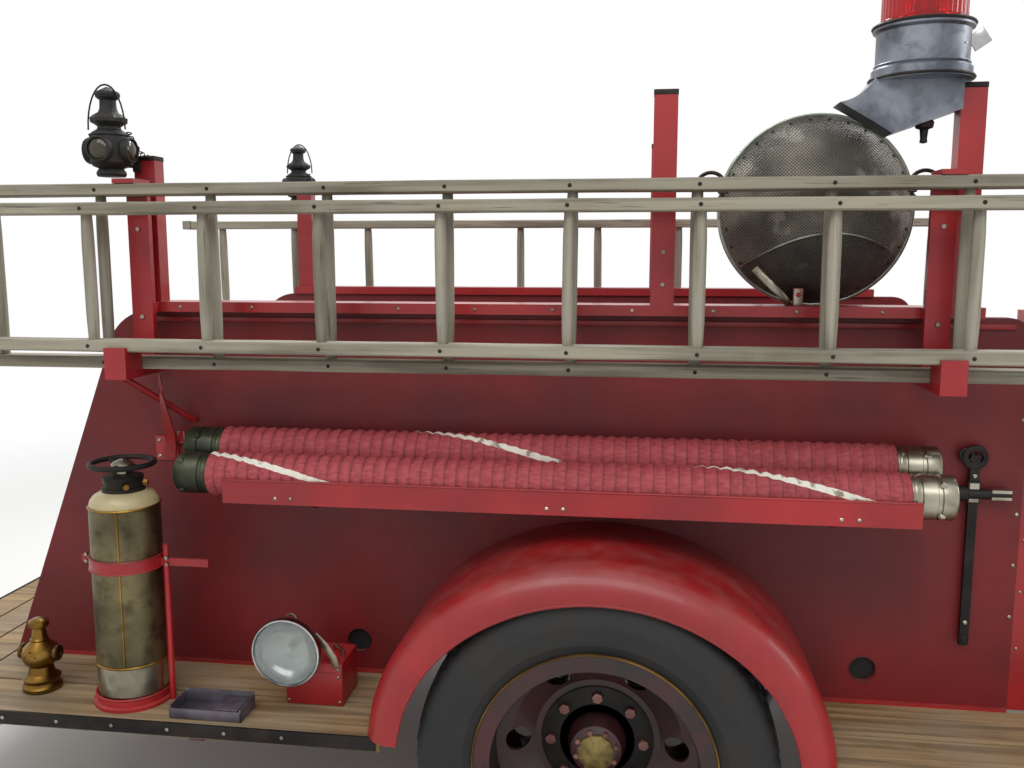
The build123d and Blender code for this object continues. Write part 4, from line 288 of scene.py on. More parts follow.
def leather(name, light, dark, roughness=0.5):
    """Creased hide with a fine grain."""
    shader = Shader(name, roughness=roughness)
    voronoi = shader.nodes.new("ShaderNodeTexVoronoi")
    voronoi.feature = "DISTANCE_TO_EDGE"
    voronoi.inputs["Scale"].default_value = 260
    shader.links.new(shader.place, voronoi.inputs["Vector"])
    creases = shader.noise(13, 7, distortion=1.4)
    colour = shader.mix(shader.ramp(creases, 0.35, 0.7), rgb(dark), rgb(light))
    height = shader.math("ADD", shader.ramp(voronoi.outputs["Distance"], 0.0, 0.12), creases)
    shader.bump(height, 0.3, 0.0012)
    return shader.finish(colour, shader.math("MULTIPLY_ADD", creases, 0.3, roughness - 0.15))


def woven(middle_x, middle_z):
    """Fine diagonal basket weave, grey-green, with painted shade in its hollows and below a curved line
    across the lower half.
    """
    shader = Shader("basket_weave", metallic=0.35)
    across, up = shader.axis("X"), shader.axis("Z")
    warp = shader.math("SINE", shader.math("MULTIPLY", shader.math("ADD", across, up), 760.0))
    weft = shader.math("SINE", shader.math("MULTIPLY", shader.math("SUBTRACT", across, up), 760.0))
    height = shader.math("MAXIMUM", warp, weft)
    colour = shader.mix(shader.ramp(shader.noise(7, 6), 0.35, 0.7), rgb("47433b"), rgb("7c776b"))
    worn = shader.ramp(shader.noise(12, 7, distortion=0.4), 0.55, 0.68)
    colour = shader.mix(shader.math("MULTIPLY", worn, 0.6), colour, rgb("a5a295"))
    # Painted shade: the weave's low hollows are darkened towards black.
    colour = shader.mix(shader.math("MULTIPLY", shader.ramp(height, 0.5, -0.1), 0.75), colour, rgb("1c1a17"))
    # Painted shade: the surface below a curved line across the lower half is darkened.
    off = shader.math("SUBTRACT", across, middle_x + SHADE_EDGE_SIDE)
    shade_edge = shader.math("SUBTRACT", middle_z - SHADE_EDGE_DROP,
        shader.math("MULTIPLY", shader.math("MULTIPLY", off, off), SHADE_EDGE_BEND))
    shade = shader.ramp(shader.math("SUBTRACT", shade_edge, up), -0.002, 0.006)
    colour = shader.mix(shader.math("MULTIPLY", shade, 0.62), colour, rgb("191715"))
    shader.bump(height, 0.7, 0.0012)
    return shader.finish(colour, shader.math("MULTIPLY_ADD", shader.noise(20, 4), 0.3, 0.3))


def clear(name, tint, roughness=0.03, weight=1.0, ior=1.45):
    """Glass or a lens; the tint and weight sit on the shader's own sockets."""
    shader = Shader(name, roughness=roughness)
    shader.surface.inputs["Transmission Weight"].default_value = weight
    shader.surface.inputs["IOR"].default_value = ior
    smear = shader.ramp(shader.noise(11, 6), 0.5, 0.9)
    shader.bump(shader.noise(30, 2), 0.02, 0.0005)
    return shader.finish(shader.mix(shader.math("MULTIPLY", smear, 0.15), rgb(tint), rgb("9a968c")))


RED = paint("body_red", "a0181c", "841216", dust=0.2, coat=0.15)
# Painted shade: the body sides get a darker copy of the body red, standing for the shade they sit in.
SHADED_PANEL_RED = paint("shaded_panel_red", "720c12", "5a090e", dust=0.15, roughness=(0.45, 0.65), coat=0.0)
BRACKET_RED = paint("bracket_red", "a51c20", "84131a", dust=0.15, coat=0.1)
FRAME_RED = paint("frame_red", "571414", "2c0a0b", grime=0.7)
WHEEL_RED = paint("wheel_red", "3e0d10", "1c0608", grime=0.85, dust=0.1, roughness=(0.35, 0.7))
BLACK = paint("black_paint", "1c1c1e", "0d0d0e", chip="5a5048", roughness=(0.3, 0.6))
IRON = metal("dark_iron", "2f2c2a", "161413", (0.45, 0.75), "3a2a1e", 0.5, metallic=0.6)
GREASY = metal("greasy_iron", "221f1c", "0e0c0b", (0.35, 0.7), "4a3a24", 0.5, metallic=0.5)
ENGINE_GREY = paint("engine_grey", "4b5650", "2c322e", grime=0.6)
RUSTY = metal("rusty_steel", "6a4a35", "37281f", (0.6, 0.85), "8a5a35", 0.6, metallic=0.5)
CHROME = metal("chrome", "c9c9c7", "8f9090", (0.08, 0.3), "6a6558", 0.35)
NICKEL = metal("old_nickel", "b9b4a4", "7d7868", (0.2, 0.45), "5b503c", 0.5)
BRASS = metal("brass", "b08a45", "6e5224", (0.2, 0.45), "4a3a20", 0.5)
TARNISHED = metal("tarnished_brass", "83795a", "4b4636", (0.35, 0.6), "3b2f24", 0.6, brush=0.3)
BRONZE = metal("bronze", "8a6b3a", "4f3c1f", (0.3, 0.55), "3a3020", 0.5)
BEACON_GREY = metal("beacon_grey", "8e939c", "3f444d", (0.25, 0.5), "2b2e34", 0.5, metallic=0.8)
RUBBER = tyre_rubber()
LENS_RED = clear("lens_red", "b3060a", 0.08, 0.75)
LENS_CLEAR = clear("lens_clear", "e6ecea", 0.05, 0.9)
GLASS = clear("window_glass", "eef3f1", 0.02, 1.0, 1.1)
AMBER = clear("lantern_glass", "4a4230", 0.12, 0.5)
HIDE = leather("seat_hide", "2a2523", "100e0d")
STRAP_HIDE = leather("strap_hide", "3d3128", "1a130e", 0.7)
SOOT = metal("soot_black", "232220", "0f0f0f", (0.5, 0.8), "3a342c", 0.4, metallic=0.35)
GREEN_BRONZE = metal("green_bronze", "5d604c", "30332a", (0.3, 0.6), "23261f", 0.6, metallic=0.8)
OLD_NUT = metal("wheel_nuts", "9a6f66", "5e3b36", (0.35, 0.6), "3a1d1b", 0.5, metallic=0.6)
YELLOW_GREASE = metal("hub_grease", "8c7a3c", "5a4a22", (0.35, 0.6), "2a2214", 0.6, 22.0, metallic=0.2)
OLD_RIM = metal("basket_rim", "aab0a4", "6f766c", (0.25, 0.5), "4a4f46", 0.5)
TRAY_METAL = metal("grey_plate", "807a85", "57525c", (0.4, 0.65), "4a3b36", 0.5, metallic=0.7)
CREAM = paint("aged_cream", "c4b68e", "98895f", dust=0.2, chip="6a5a3a")
PALE_THREAD = leather("pale_thread", "b3a488", "8a7c62", 0.8)
DIAL = paint("dial_face", "ddd8c6", "c8c0a8", dust=0.0, chip="8a8270", coat=0.4)
NEEDLE = paint("needle_red", "a3181a", "8a1012", dust=0.0)
PEDAL = tyre_rubber("pedal_rubber")
LADDER_X = wood("ladder_rail_wood", "99927f", "665f50", 0)
LADDER_Z = wood("ladder_rung_wood", "9a9484", "6b6455", 2)
OAK_X = wood("board_oak", "a08660", "6b5536", 0, 0.3)


# Mesh building
def mm(*pairs):
    """Pairs of millimetres as pairs of metres."""
    return [(first / 1000, second / 1000) for first, second in pairs]


class Piece:
    """Gathers forms in one mesh and hands it over as a piece that rides on a body."""

    def __init__(self, name, *materials, body="chassis"):
        self.name, self.materials, self.body = name, materials, body
        self.mesh = bmesh.new()
        self.slot = 0

    def use(self, slot):
        """Forms added from here on take the material with this number."""
        self.slot = slot
        return self

    def face(self, corners):
        try:
            made = self.mesh.faces.new(corners)
            made.material_index = self.slot
        except ValueError:
            pass

    def box(self, low, high, bevel=0.0, turn=None):
        """Box between any two opposite corners, its edges rounded, with an optional turn."""
        low, high = (Vector(pick(pair) for pair in zip(low, high)) for pick in (min, max))
        middle = (low + high) / 2
        size = high - low
        spread = Matrix.Diagonal((*size, 1.0))
        place = Matrix.Translation(middle) @ (turn.to_4x4() if turn else Matrix.Identity(4)) @ spread
        made = bmesh.ops.create_cube(self.mesh, size=1.0, matrix=place)
        faces = {face for vert in made["verts"] for face in vert.link_faces}
        if bevel:
            edges = {edge for face in faces for edge in face.edges}
            rounded = bmesh.ops.bevel(self.mesh, geom=list(edges), offset=bevel, segments=2, affect="EDGES",
                profile=0.6)
            faces = {face for face in faces if face.is_valid} | set(rounded["faces"])
        for face in faces:
            face.material_index = self.slot
        return self

    def rings(self, rings, closed_run=False):
        """Skin over a run of rings of points, capped at its ends or closed on itself."""
        made = [[self.mesh.verts.new(point) for point in ring] for ring in rings]
        steps = len(made[0])
        pairs = list(zip(made, made[1:]))
        if closed_run:
            pairs.append((made[-1], made[0]))
        for first, second in pairs:
            for k in range(steps):
                after = (k + 1) % steps
                self.face((first[k], first[after], second[after], second[k]))
        if not closed_run:
            self.face(list(reversed(made[0])))
            self.face(made[-1])
        return self

    def lathe(self, outline, origin, axis, steps=40, dent=None, start=None, closed=False):
        """Turned form; the outline holds (distance along the axis, radius) points."""
        axis = Vector(axis).normalized()
        side = (start or axis.orthogonal()).normalized()
        other = axis.cross(side)
        rings = []
        for number, (along, radius) in enumerate(outline):
            ring = []
            for k in range(steps):
                turn = 2 * pi * k / steps
                reach = max(radius, 0.0002) + (dent(number, k) if dent else 0.0)
                ring.append(Vector(origin) + axis * along + (side * cos(turn) + other * sin(turn)) * reach)
            rings.append(ring)
        return self.rings(rings, closed_run=closed)

    def tube(self, points, radius, steps=10, flat=1.0, closed=False, upright=UP):
        """Round or flattened bar along a run of points."""
        points = [Vector(point) for point in points]
        rings = []
        count = len(points)
        for k, point in enumerate(points):
            before = points[k - 1] if k or closed else points[0]
            after = points[(k + 1) % count] if k < count - 1 or closed else points[-1]
            way = (after - before).normalized()
            side = way.cross(Vector(upright))
            side = side.normalized() if side.length > 0.05 else way.orthogonal().normalized()
            up = side.cross(way)
            rings.append([point + side * cos(2 * pi * s / steps) * radius + up * sin(2 * pi * s / steps)
                * radius * flat for s in range(steps)])
        return self.rings(rings, closed_run=closed)

    def hoop(self, centre, axis, radius, wire, steps=40, wire_steps=8):
        """Round ring of wire."""
        axis = Vector(axis).normalized()
        side = axis.orthogonal().normalized()
        other = axis.cross(side)
        points = [Vector(centre) + (side * cos(2 * pi * k / steps) + other * sin(2 * pi * k / steps)) * radius
            for k in range(steps)]
        return self.tube(points, wire, wire_steps, closed=True, upright=axis)

    def studs(self, places, axis, radius, height, sides=10, domed=True):
        """Rivet, screw or nut heads on a surface that faces along the axis."""
        outline = [(-0.0005, radius), (height * 0.45, radius)]
        outline += [(height, radius * 0.55)] if domed else [(height, radius * 0.9)]
        for place in places:
            self.lathe(outline, place, axis, sides)
        return self

    def done(self, *replaced, smooth=32):
        """Make the piece's object, let it ride on its body, and hide the CAD parts it replaces."""
        bmesh.ops.recalc_face_normals(self.mesh, faces=self.mesh.faces)
        mesh = bpy.data.meshes.new(self.name)
        self.mesh.to_mesh(mesh)
        self.mesh.free()
        for material in self.materials:
            mesh.materials.append(material)
        mesh.polygons.foreach_set("use_smooth", [True] * len(mesh.polygons))
        mesh.set_sharp_from_angle(angle=radians(smooth))
        made = bpy.data.objects.new(self.name, mesh)
        bpy.context.collection.objects.link(made)
        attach(made, self.body)
        if replaced:
            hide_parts(*replaced)
        return made


SIDES = ((1, "left"), (-1, "right"))

# Suction hoses with ribbed covers: (Y, Z, rear end, front end)
HOSE_R = 0.058
HOSES = ((-0.7396, 1.0703, -2.346, -0.623), (-0.632, 1.1163, -2.354, -0.631))
hoses = Piece("hoses", striped_hose("front_hose_cover", *HOSES[0][:3], -2.36, 1.315),
    striped_hose("back_hose_cover", *HOSES[1][:3], -1.77, 1.29))
for number, (hose_y, hose_z, rear, front) in enumerate(HOSES):
    ribs = round((front - rear) / RIB_PITCH)
    step = (front - rear) / ribs / 4
    swell = (-0.0020, 0.0, -0.0020, -0.0052)
    outline = [(k * step, HOSE_R + swell[k % 4]) for k in range(4 * ribs + 1)]
    hoses.use(number).lathe([(0, 0.03)] + outline + [(front - rear, 0.03)], (rear, hose_y, hose_z), AHEAD, 32)
hoses.done("suction_hoses")

# Couplings: (distance from the hose, radius)
SHANK = mm((0, 46), (0, 50.5), (4, 52.5), (8, 50.5), (12, 52.5), (16, 50.5), (24, 50.5), (26, 54), (58, 54))
OPEN_END = mm((60, 50.5), (68, 50.5), (70, 54), (98, 54), (102, 52.5), (104, 50), (104, 46), (50, 45),
    (50, 1))
DOMED_END = mm((80, 54), (90, 48), (98, 36), (103, 18), (104, 1))
couplings = Piece("couplings", NICKEL, GREEN_BRONZE)
for number, (hose_y, hose_z, rear, front) in enumerate(HOSES):
    for way, start in ((1, front), (-1, rear)):
        tail = DOMED_END if way < 0 and number == 0 else OPEN_END
        couplings.use(0 if way > 0 else 1)
        couplings.lathe(SHANK + tail, (start, hose_y, hose_z), (way, 0, 0), 40)
        for lug in range(4):
            spoke = Vector((0, cos(pi / 4 + lug * pi / 2), sin(pi / 4 + lug * pi / 2)))
            couplings.studs([Vector((start + way * 0.071, hose_y, hose_z)) + spoke * 0.051], spoke, 0.009,
                0.008, 8)
couplings.done("hose_couplings")

# Tyres: half section as (distance from the middle, radius), from the bead to the tread
TYRE_SECTION = ((0.0665, 0.262), (0.0700, 0.296), (0.0760, 0.310), (0.0790, 0.313), (0.0800, 0.318),
    (0.0845, 0.340), (0.0858, 0.355), (0.0870, 0.360), (0.0860, 0.366), (0.0842, 0.384), (0.0805, 0.397),
    (0.0785, 0.404), (0.0700, 0.418), (0.0610, 0.4265), (0.0520, 0.4300), (0.0500, 0.4235), (0.0440, 0.4235),
    (0.0420, 0.4308), (0.0240, 0.4318), (0.0220, 0.4250), (0.0150, 0.4250), (0.0130, 0.4320))
TYRE_STEPS = 180
tyre_outline = list(TYRE_SECTION) + [(-reach, radius) for reach, radius in reversed(TYRE_SECTION)]


def tread(number, k):
    """Cross cuts of the shoulder blocks, and faint ribs on the side walls."""
    row = min(number, len(tyre_outline) - 1 - number)
    if row in (13, 14) and k % 3 == 0:
        return -0.0055
    if row in (17, 18) and k % 3 == 1:
        return -0.0035
    return 0.0009 if row in (10, 11) and k % 2 else 0.0


def tyres(name, body, axle_x, places, node):
    piece = Piece(name, RUBBER, body=body)
    for tyre_y in places:
        piece.lathe(tyre_outline, (axle_x, tyre_y, TYRE_R), LEFT, TYRE_STEPS, tread, closed=True)
    piece.done(node, smooth=40)


# Wheel faces: nuts, studs, grease caps and bare rim edges
def around(centre, radius, count, start=0.0):
    """Places on a circle about an axis along Y."""
    return [(centre[0] + radius * cos(start + 2 * pi * k / count), centre[1],
        centre[2] + radius * sin(start + 2 * pi * k / count)) for k in range(count)]


RIM_R = 0.2895
for side, name in SIDES:
    rear_body, front_body = f"rear_wheels_{name}", f"front_wheel_{name}"
    tyres(f"tyres_rear_{name}", rear_body, REAR_AXLE[0], (side * 0.680, side * 0.870), f"rear_tyres_{name}")
    tyres(f"tyre_front_{name}", front_body, FRONT_AXLE[0], (side * 0.780,), f"front_tyre_{name}")
    out = (0, side, 0)
    rear = Piece(f"hub_rear_{name}", OLD_NUT, YELLOW_GREASE, BRONZE, IRON, body=rear_body)
    hub = (REAR_AXLE[0], side * 0.785, TYRE_R)
    rear.use(0).studs(around(hub, 0.115, 8), out, 0.015, 0.020, 6, False)
    rear.use(3).lathe(mm((0, 140), (4, 140), (6, 136), (6, 94), (0, 92)), hub, out, 48)
    rear.use(0).studs(around((hub[0], side * 0.8425, TYRE_R), 0.050, 8, 0.3), out, 0.0075, 0.010, 6, False)
    rear.use(1).lathe(mm((0, 44), (5, 43), (10, 34), (12, 30), (16, 12), (17, 1)),
        (hub[0], side * 0.8495, TYRE_R), out, 36, lambda number, k: 0.0016 * sin(k * 1.9))
    rear.use(2).hoop((hub[0], side * 0.946, TYRE_R), out, RIM_R, 0.0032, 96, 6)
    rear.use(3).hoop((hub[0], side * 0.938, TYRE_R), out, 0.250, 0.0045, 96, 6)
    rear.use(3).tube([(hub[0] + 0.236, side * 0.905, TYRE_R), (hub[0] + 0.240, side * 0.952, TYRE_R)], 0.005,
        8)
    rear.done()
    front = Piece(f"hub_front_{name}", OLD_NUT, YELLOW_GREASE, BRONZE, IRON, body=front_body)
    hub = (FRONT_AXLE[0], side * 0.812, TYRE_R)
    front.use(0).studs(around(hub, 0.100, 8), out, 0.014, 0.019, 6, False)
    front.use(3).lathe(mm((0, 122), (4, 122), (5, 118), (5, 82), (0, 80)), hub, out, 48)
    front.use(0).studs(around((hub[0], side * 0.8505, TYRE_R), 0.0395, 6), out, 0.0055, 0.007, 6, False)
    front.use(2).hoop((hub[0], side * 0.856, TYRE_R), out, RIM_R, 0.0032, 96, 6)
    front.use(3).tube([(hub[0] + 0.236, side * 0.82, TYRE_R), (hub[0] + 0.240, side * 0.864, TYRE_R)], 0.005,
        8)
    front.done()

# Ladders: weathered rails, uneven rungs, iron ends
LADDER_SPAN = (-3.110, -0.045)
FIRST_RUNG = at(-1.610)
RUNG_PITCH = 0.305
RAIL = 0.031
RAIL_HALF = 0.033
RAIL_CUTS = 45
RUNGS = 10


def ladder(name, middle_y, low, high, seed):
    piece = Piece(name, LADDER_X, LADDER_Z, IRON)
    out = -1 if middle_y < 0 else 1
    chamfer = 0.0035
    for rail_z in (low + RAIL / 2, high - RAIL / 2):
        sections = []
        for k in range(RAIL_CUTS + 1):
            x = LADDER_SPAN[0] + (LADDER_SPAN[1] - LADDER_SPAN[0]) * k / RAIL_CUTS
            drift = noise.noise(Vector((x * 2.2, rail_z * 5, seed))) * 0.0022
            half_z = RAIL / 2 - 0.0004 + noise.noise(Vector((x * 4.1, seed, rail_z))) * 0.0009
            corners = [(RAIL_HALF, half_z - chamfer), (RAIL_HALF - chamfer, half_z),
                (chamfer - RAIL_HALF, half_z), (-RAIL_HALF, half_z - chamfer), (-RAIL_HALF, chamfer - half_z),
                (chamfer - RAIL_HALF, -half_z), (RAIL_HALF - chamfer, -half_z), (RAIL_HALF, chamfer - half_z)]
            sections.append([(x, middle_y + cy * 0.985, rail_z + cz + drift * 0.3) for cy, cz in corners])
        piece.use(0).rings(sections)
        for end, way in ((LADDER_SPAN[0], 1), (LADDER_SPAN[1], -1)):
            piece.use(2).box((end - way * 0.001, middle_y - RAIL_HALF - 0.001, rail_z - RAIL / 2 - 0.001),
                (end + way * 0.034, middle_y + RAIL_HALF + 0.001, rail_z + RAIL / 2 + 0.001), 0.002)
        places = [(FIRST_RUNG + k * RUNG_PITCH, middle_y + out * 0.0325, rail_z) for k in range(RUNGS)]
        piece.use(2).studs(places, (0, out, 0), 0.005, 0.0022, 8)
    length = high - low - 2 * RAIL + 0.006
    for k in range(RUNGS):
        lean = Vector((random.uniform(-0.004, 0.004), random.uniform(-0.002, 0.002), length)).normalized()
        base = Vector((FIRST_RUNG + k * RUNG_PITCH + random.uniform(-0.002, 0.002), middle_y,
            low + RAIL - 0.003))
        girth = random.uniform(0.0148, 0.0160)
        steps = 12
        outline = [(length * t / steps, girth * (0.86 + 0.14 * min(1.0, 5 * min(t, steps - t) / steps)))
            for t in range(steps + 1)]
        piece.use(1).lathe(outline, base, lean, 14)
    return piece


ladder("ladder_bed_wood", -0.693, 1.338, 1.814, 1.0).done("ladder_bed", "ladder_bed_rungs", smooth=30)
ladder("ladder_fly_wood", -0.763, 1.388, 1.764, 2.0).done("ladder_fly", "ladder_fly_rungs", smooth=30)
ladder("ladder_far_wood", 0.693, 1.388, 1.764, 3.0).done("ladder_far", smooth=30)

# Strainer baskets, two nested bowls, bottom outwards, with wire rims and ear rings
BASKET_X, BASKET_Z = -0.825, 1.7433
BALL_R = 0.293
BALL_BACK = 0.175
RIMS_Y = (-0.528, -0.5191)
BALL_Y = RIMS_Y[0] + BALL_BACK
BASKET_R = 0.2345
BASKET_EDGE = 0.9306
DENT = (-0.077, 0.087, 0.014)
baskets = Piece("baskets", woven(BASKET_X, BASKET_Z), OLD_RIM, IRON)
for rim_y in RIMS_Y:
    steps = 22
    shell = [(BALL_R * cos(BASKET_EDGE * k / steps), BALL_R * sin(BASKET_EDGE * k / steps))
        for k in range(steps + 1)]
    thin = [((BALL_R - 0.004) * cos(BASKET_EDGE * k / steps), (BALL_R - 0.004) * sin(BASKET_EDGE * k / steps))
        for k in range(steps, -1, -1)]
    wall = shell + thin

    def knocked(number, k):
        """One round dent at the upper left, and a slightly uneven wall."""
        radius, turn = wall[number][1], 2 * pi * k / 88
        across, up = radius * cos(turn) - DENT[0], radius * sin(turn) - DENT[1]
        hollow = -0.006 * 2.718 ** (-(across ** 2 + up ** 2) / (2 * DENT[2] ** 2))
        return hollow + 0.0012 * noise.noise(Vector((across * 14, up * 14, 0)))

    middle = (BASKET_X, rim_y + BALL_BACK, BASKET_Z)
    baskets.use(0).lathe(wall, middle, RIGHT, 88, knocked, Vector(AHEAD))
    baskets.use(1).hoop((BASKET_X, rim_y, BASKET_Z), LEFT, BASKET_R, 0.0055, 96, 8)
rivet_turn = 0.222 / BALL_R
for k in range(30):
    turn = 2 * pi * k / 30
    way = Vector((rivet_turn * cos(turn), -(1 - rivet_turn ** 2) ** 0.5, rivet_turn * sin(turn)))
    baskets.use(2).studs([Vector((BASKET_X, BALL_Y, BASKET_Z)) + way * (BALL_R - 0.0008)], way, 0.0042, 0.003,
        8)
# Wire arc laid along the edge of the painted shade on the outer bowl.
arc = []
for k in range(17):
    across = -0.178 + 0.35 * k / 16
    up = -SHADE_EDGE_DROP - SHADE_EDGE_BEND * (across - SHADE_EDGE_SIDE) ** 2
    arc.append((BASKET_X + across, BALL_Y - (BALL_R ** 2 - across ** 2 - up ** 2) ** 0.5 - 0.0005,
        BASKET_Z + up))
baskets.use(1).tube(arc, 0.0032, 6, upright=LEFT)
for end in (1, -1):
    ear = (BASKET_X + end * 0.258, -0.534, BASKET_Z + 0.060)
    baskets.use(2).hoop(ear, LEFT, 0.036, 0.005, 32, 8)
    plate = (BASKET_X + end * 0.224, -0.5335, BASKET_Z + 0.054)
    baskets.use(2).box((plate[0] - 0.016, plate[1] - 0.006, plate[2] - 0.011),
        (plate[0] + 0.016, plate[1] + 0.004, plate[2] + 0.011), 0.003)
    baskets.use(2).studs([(plate[0] - 0.007 * end, plate[1] - 0.006, plate[2])], RIGHT, 0.005, 0.003)
baskets.done("strainer_baskets")

strip = Piece("basket_strap", NICKEL, BRACKET_RED)
strip.use(0).tube([(-0.974, -0.590, 1.600), (-0.940, -0.606, 1.565), (-0.905, -0.604, 1.530),
    (-0.885, -0.585, 1.509)], 0.009, 8, 0.22, upright=LEFT)
strip.use(1).box((-0.880, -0.604, 1.508), (-0.856, -0.592, 1.552), 0.002)
strip.use(1).studs([(-0.868, -0.604, 1.536)], RIGHT, 0.006, 0.004)
strip.done()

# Beacon: fluted red glass over a bright reflector, on its flared pan
BEACON = (-0.607, -0.596)
lens = Piece("beacon_glass", LENS_RED)
lens.lathe(mm((0, 88), (0, 97), (10, 97.5), (13, 95.5), (108, 95), (125, 91.5), (143, 83), (156, 62),
    (163, 34), (165, 2)), (*BEACON, 2.164), UP, 96, lambda number, k: -0.0016 * (k % 2) if 2 < number < 8
    else 0.0)
lens.done("beacon_lens")
fittings = Piece("beacon_fittings", CHROME, IRON, BEACON_GREY)
fittings.use(0).lathe(mm((0, 62), (4, 64), (30, 30), (60, 22), (64, 1)), (*BEACON, 2.1625), UP, 40)
fittings.use(1).hoop((*BEACON, 2.163), UP, 0.1115, 0.0042, 72, 6)
fittings.use(2).hoop((*BEACON, 2.074), UP, 0.1045, 0.0030, 72, 6)
fittings.use(1).hoop((*BEACON, 2.043), UP, 0.1155, 0.0040, 72, 6)
fittings.use(0).studs([(BEACON[0] + 0.104 * cos(t), BEACON[1] + 0.104 * sin(t), 2.110) for t in (0.6, 2.6,
    4.1, 5.5)], UP, 0.004, 0.003)
fittings.use(1).lathe(mm((0, 20), (4, 22), (16, 20), (20, 10), (40, 8), (50, 9), (52, 3)),
    (-0.594, -0.600, 1.948), (0, 0, -1), 20)
fittings.use(2).box((-0.505, -0.604, 2.112), (-0.462, -0.600, 2.150), 0.001, Matrix.Rotation(-0.6, 3, "Y"))
fittings.done()

# Lanterns: soot-black bodies with three lens bezels and a ruffled cap, chained to their posts
LANTERN_OUTLINE = mm((0, 2), (0, 34), (6, 37), (12, 36), (20, 30), (26, 44), (34, 50), (75, 52), (98, 50),
    (111, 43), (119, 30), (126, 28), (132, 36), (137, 44), (146, 45), (153, 37), (162, 25), (172, 21),
    (192, 20), (199, 29), (206, 31), (212, 29), (220, 14), (226, 3))
BEZEL = mm((0, 34), (12, 34), (16, 32), (17, 28), (12, 27))
BEZEL_LENS = mm((11, 27.5), (16, 22), (19, 12), (20, 1))
for side, name in SIDES:
    lantern = Piece(f"lantern_{name}", SOOT, AMBER, IRON)
    foot = Vector((-2.620, side * 0.680, 1.834))
    lantern.use(0).lathe(LANTERN_OUTLINE, foot, UP, 48, lambda number, k: 0.0022 * cos(12 * 2 * pi * k / 48)
        if 12 < number < 16 else 0.0)
    for way in (Vector(AHEAD), Vector((-1, 0, 0)), Vector((0, side, 0))):
        start = foot + Vector((0, 0, 0.066)) + way * 0.045
        lantern.use(0).lathe(BEZEL, start, way, 32)
        lantern.use(1).lathe(BEZEL_LENS, start, way, 32)
    lantern.use(0).hoop(foot + Vector((0, 0, 0.104)), UP, 0.048, 0.003, 40, 6)
    bail = [foot + Vector((0.051 * cos(t), side * 0.012, 0.118 + 0.112 * sin(t)))
        for t in [pi * k / 16 for k in range(17)]]
    lantern.use(2).tube(bail, 0.0024, 6, upright=LEFT)
    post_x = -2.591
    lantern.use(2).box((post_x, side * RAIL_FACE, 1.850), (post_x + 0.020, side * 0.628, 1.880), 0.0015)
    lantern.use(2).tube([(post_x + 0.010, side * 0.624, 1.865), (-2.606, side * 0.640, 1.865)], 0.005, 8)
    links = 9
    start, end = foot + Vector((0.045, -side * 0.010, 0.118)), Vector((-2.545, side * 0.612, 1.886))
    for k in range(links):
        share = (k + 0.5) / links
        centre = start.lerp(end, share) - Vector((0, 0, 0.020 * sin(pi * share)))
        lantern.use(2).hoop(centre, (0.2, 1, 0) if k % 2 else (0, 0.3, 1), 0.0062, 0.0016, 14, 5)
    lantern.done("lanterns")

# Hand straps: stitched loops of hide under the lanterns, each with an iron keeper
STRAP_Y = 0.6295
STRAP_DROP = 0.170
STRAP_CUTS = 40
for side, name in SIDES:
    strap = Piece(f"strap_{name}", STRAP_HIDE, IRON, PALE_THREAD)
    swing = 0.006
    path = []
    for k in range(STRAP_CUTS):
        turn = 2 * pi * k / STRAP_CUTS
        drop = STRAP_DROP / 2 * (1 - cos(turn))
        path.append(Vector((-2.586 + 0.0185 * sin(turn) * (0.45 + 0.55 * drop / STRAP_DROP) - swing
            * drop / STRAP_DROP, side * (STRAP_Y + 0.003 * sin(3 * turn)), 1.7985 - drop)))
    sections = []
    for k, point in enumerate(path):
        along = (path[(k + 1) % STRAP_CUTS] - path[k - 1]).normalized()
        normal = along.cross(Vector(LEFT)).normalized()
        twist = Vector(LEFT) + normal * 0.12 * sin(2 * pi * k / STRAP_CUTS * 2)
        half = twist.normalized() * 0.0088
        sections.append([point + half + normal * 0.0014, point + half * 0.8 + normal * 0.0022,
            point - half * 0.8 + normal * 0.0022, point - half + normal * 0.0014,
            point - half - normal * 0.0014, point - half * 0.8 - normal * 0.0022,
            point + half * 0.8 - normal * 0.0022, point + half - normal * 0.0014])
    strap.use(0).rings(sections, closed_run=True)
    strap.use(1).box((-2.600, side * STRAP_Y - 0.0105, 1.772), (-2.572, side * STRAP_Y + 0.0105, 1.790),
        0.002)
    strap.use(2).studs([path[k] + Vector((0, side * 0.0075, 0)) for k in range(4, 37, 2)], (0, side, 0),
        0.0011, 0.001, 5)
    strap.done("hand_straps")

# Extinguisher: cream shoulder, dark collar, handwheel, tarnished shell, bright foot
EXT = Vector((-2.566, -0.800, 0.4823))
extinguisher = Piece("extinguisher_shell", TARNISHED, NICKEL, CREAM, IRON, BRASS)
extinguisher.use(1).lathe(mm((0, 2), (0, 82), (6, 88), (98, 88.5)), EXT, UP, 64)
extinguisher.use(0).lathe(mm((96, 88), (106, 88.6), (300, 88.4), (505, 87.5), (513, 86.8)), EXT, UP, 64,
    lambda number, k: 0.0008 * noise.noise(Vector((number * 1.7, k * 0.4, 5))))
extinguisher.use(4).hoop(EXT + Vector((0, 0, 0.1005)), UP, 0.0885, 0.0036, 72, 6)
extinguisher.use(4).hoop(EXT + Vector((0, 0, 0.513)), UP, 0.0868, 0.0036, 72, 6)
extinguisher.use(2).lathe(mm((512, 86.5), (528, 83.5), (540, 75), (548, 62), (552, 50)), EXT, UP, 64)
extinguisher.use(3).lathe(mm((547, 50), (550, 53), (560, 53), (562, 48), (576, 48), (580, 50), (588, 50),
    (592, 30), (594, 14)), EXT, UP, 48)
for turn in (0.2, pi - 0.2, 1.7 * pi, 0.55 * pi):
    way = Vector((cos(turn), sin(turn), 0))
    extinguisher.use(4).studs([EXT + way * 0.050 + Vector((0, 0, 0.569))], way, 0.009, 0.012, 6, False)
